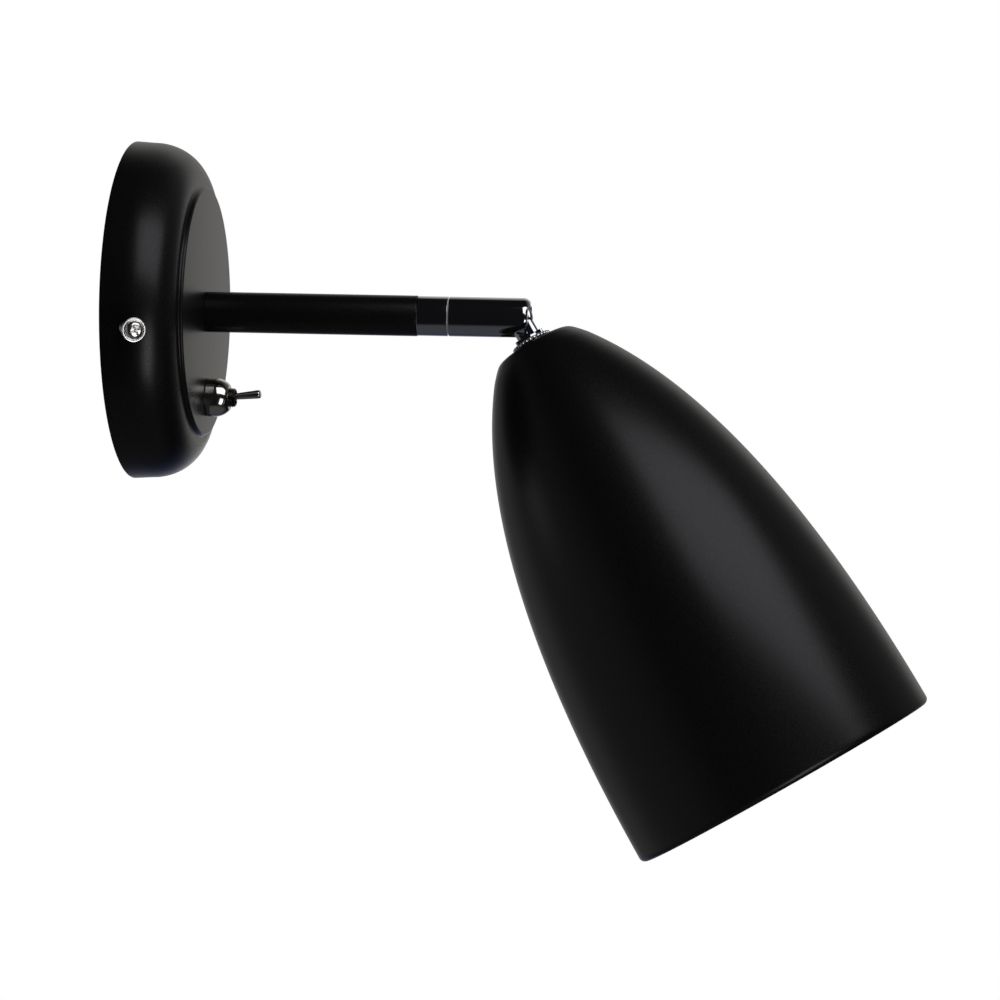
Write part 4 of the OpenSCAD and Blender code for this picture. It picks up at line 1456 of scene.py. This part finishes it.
@dataclass
class Studio:
    """A white backdrop, a pale floor, soft lamps and the camera."""

    camera_at: Triple = (0.18127, -0.79073, -0.13958)
    yaw: float = 4.36
    pitch: float = 5.765
    roll: float = 1.875
    lens: float = 89.06
    sensor: float = 36.0
    clip: Pair = (0.01, 50.0)
    floor_drop: float = 0.32
    floor_radius: float = 1.6
    floor_x: float = 0.1
    floor_lift: float = 0.42
    floor_grain: float = 40 * MM
    floor_color: Triple = (0.8, 0.8, 0.8)
    floor_uneven: float = 0.0125
    base_glow: Triple = (0.006, 0.006, 0.007)
    glows: tuple[Glow, ...] = (
        Glow(-95, -10, 25, 62, (0.13, 0.13, 0.13)),
        Glow(-90, 5, 5, 12, (0.5, 0.5, 0.5)),
        Glow(180, 18, 20, 40, (0.44, 0.43, 0.41)),
        Glow(180, -18, 6, 24, (0.04, 0.06, 0.14)),
        Glow(135, 25, 15, 45, (0.09, 0.09, 0.09)),
        Glow(-150, 0, 20, 45, (0.10, 0.10, 0.10)),
        Glow(180, 52, 10, 20, (0.17, 0.17, 0.165)),
        Glow(180, -80, 28, 48, (0.05, 0.05, 0.055)),
        Glow(180, 0, 4, 10, (0.5, 0.5, 0.5)),
    )
    lamps: tuple[Softbox, ...] = (
        Softbox("key_softbox", 38.5, 38, 0.60, (0.58, 0.44), 1.5, roll=-8),
        Softbox("low_softbox", 42, -30, 0.55, (0.20, 0.36), 2.2),
        Softbox("top_fill", 20, 80, 1.6, (1.6, 1.6), 0.5, False),
    )

    def set_camera(self) -> None:
        """Set the camera at the fitted place."""
        data = bpy.data.cameras.new("camera")
        data.lens, data.sensor_width, data.sensor_fit = self.lens, self.sensor, "HORIZONTAL"
        data.clip_start, data.clip_end = self.clip
        camera = bpy.data.objects.new("camera", data)
        turn = about("Z", self.yaw) @ about("X", 90 + self.pitch) @ about("Z", self.roll)
        camera.matrix_world = shift(*self.camera_at) @ turn
        bpy.context.scene.collection.objects.link(camera)
        bpy.context.scene.camera = camera

    def set_world(self) -> None:
        """Light the world: a white backdrop to the camera, and the studio's soft patches to the object."""
        world = bpy.data.worlds.new("studio")
        world.use_nodes = True
        bpy.context.scene.world = world
        world.node_tree.nodes.clear()
        tree = ShaderTree(world.node_tree)
        direction = tree.add("ShaderNodeTexCoord").outputs["Generated"]
        total = None
        for glow in self.glows:
            plus = tree.add("ShaderNodeVectorMath", operation="ADD")
            tree.link(glow.shine(tree, direction), plus.inputs[0])
            if total is None:
                plus.inputs[1].default_value = self.base_glow
            else:
                tree.link(total, plus.inputs[1])
            total = plus.outputs["Vector"]
        path = tree.add("ShaderNodeLightPath")
        backdrop, studio = tree.add("ShaderNodeBackground"), tree.add("ShaderNodeBackground")
        backdrop.inputs["Color"].default_value = (1, 1, 1, 1)
        tree.link(total, studio.inputs["Color"])
        clear, shown = tree.add("ShaderNodeMath", operation="MAXIMUM"), tree.add("ShaderNodeMixShader")
        tree.link(path.outputs["Is Camera Ray"], clear.inputs[0])
        tree.link(path.outputs["Is Transmission Ray"], clear.inputs[1])
        tree.link(clear.outputs["Value"], shown.inputs["Fac"])
        tree.link(studio.outputs["Background"], shown.inputs[1])
        tree.link(backdrop.outputs["Background"], shown.inputs[2])
        tree.link(shown.outputs["Shader"], tree.add("ShaderNodeOutputWorld").inputs["Surface"])

    def lay_floor(self) -> None:
        """Lay a pale round floor below the light."""
        mesh = bmesh.new()
        bmesh.ops.create_circle(mesh, cap_ends=True, radius=self.floor_radius, segments=96)
        floor = plain_object("floor", placed(mesh, shift(self.floor_x, 0, CAD_BOX[0].z - self.floor_drop)))
        nodes = Nodes("pale_floor")
        nodes.mottle(nodes.noise(self.floor_grain), self.floor_color, self.floor_uneven)
        nodes.set(Roughness=0.9, Specular_IOR_Level=0.1, Emission_Color=(1.0, 1.0, 1.0, 1.0))
        lift = nodes.add("ShaderNodeMath", operation="MULTIPLY")
        lift.inputs[1].default_value = self.floor_lift
        nodes.link(nodes.add("ShaderNodeLightPath").outputs["Is Camera Ray"], lift.inputs[0])
        nodes.link(lift.outputs["Value"], nodes.shader.inputs["Emission Strength"])
        floor.data.materials.append(nodes.material)
        floor.visible_glossy = False

    def build(self) -> None:
        """Set up the whole studio."""
        self.set_camera()
        self.set_world()
        self.lay_floor()
        target = (CAD_BOX[0] + CAD_BOX[1]) / 2
        for lamp in self.lamps:
            lamp.hang(target)
        bpy.context.scene.view_settings.view_transform = "Standard"


def main() -> None:
    """Build every sub-assembly and the studio."""
    logging.basicConfig(level=logging.INFO, format="%(message)s")
    dress_packed_nodes()
    for kind in (Rosette, SideScrews, ToggleSwitch, Arm, Knuckle, Neck, Shade, Lamp, Studio):
        kind().build()
        log.info("built %s", kind.__name__)


if __name__ == "__main__":
    main()
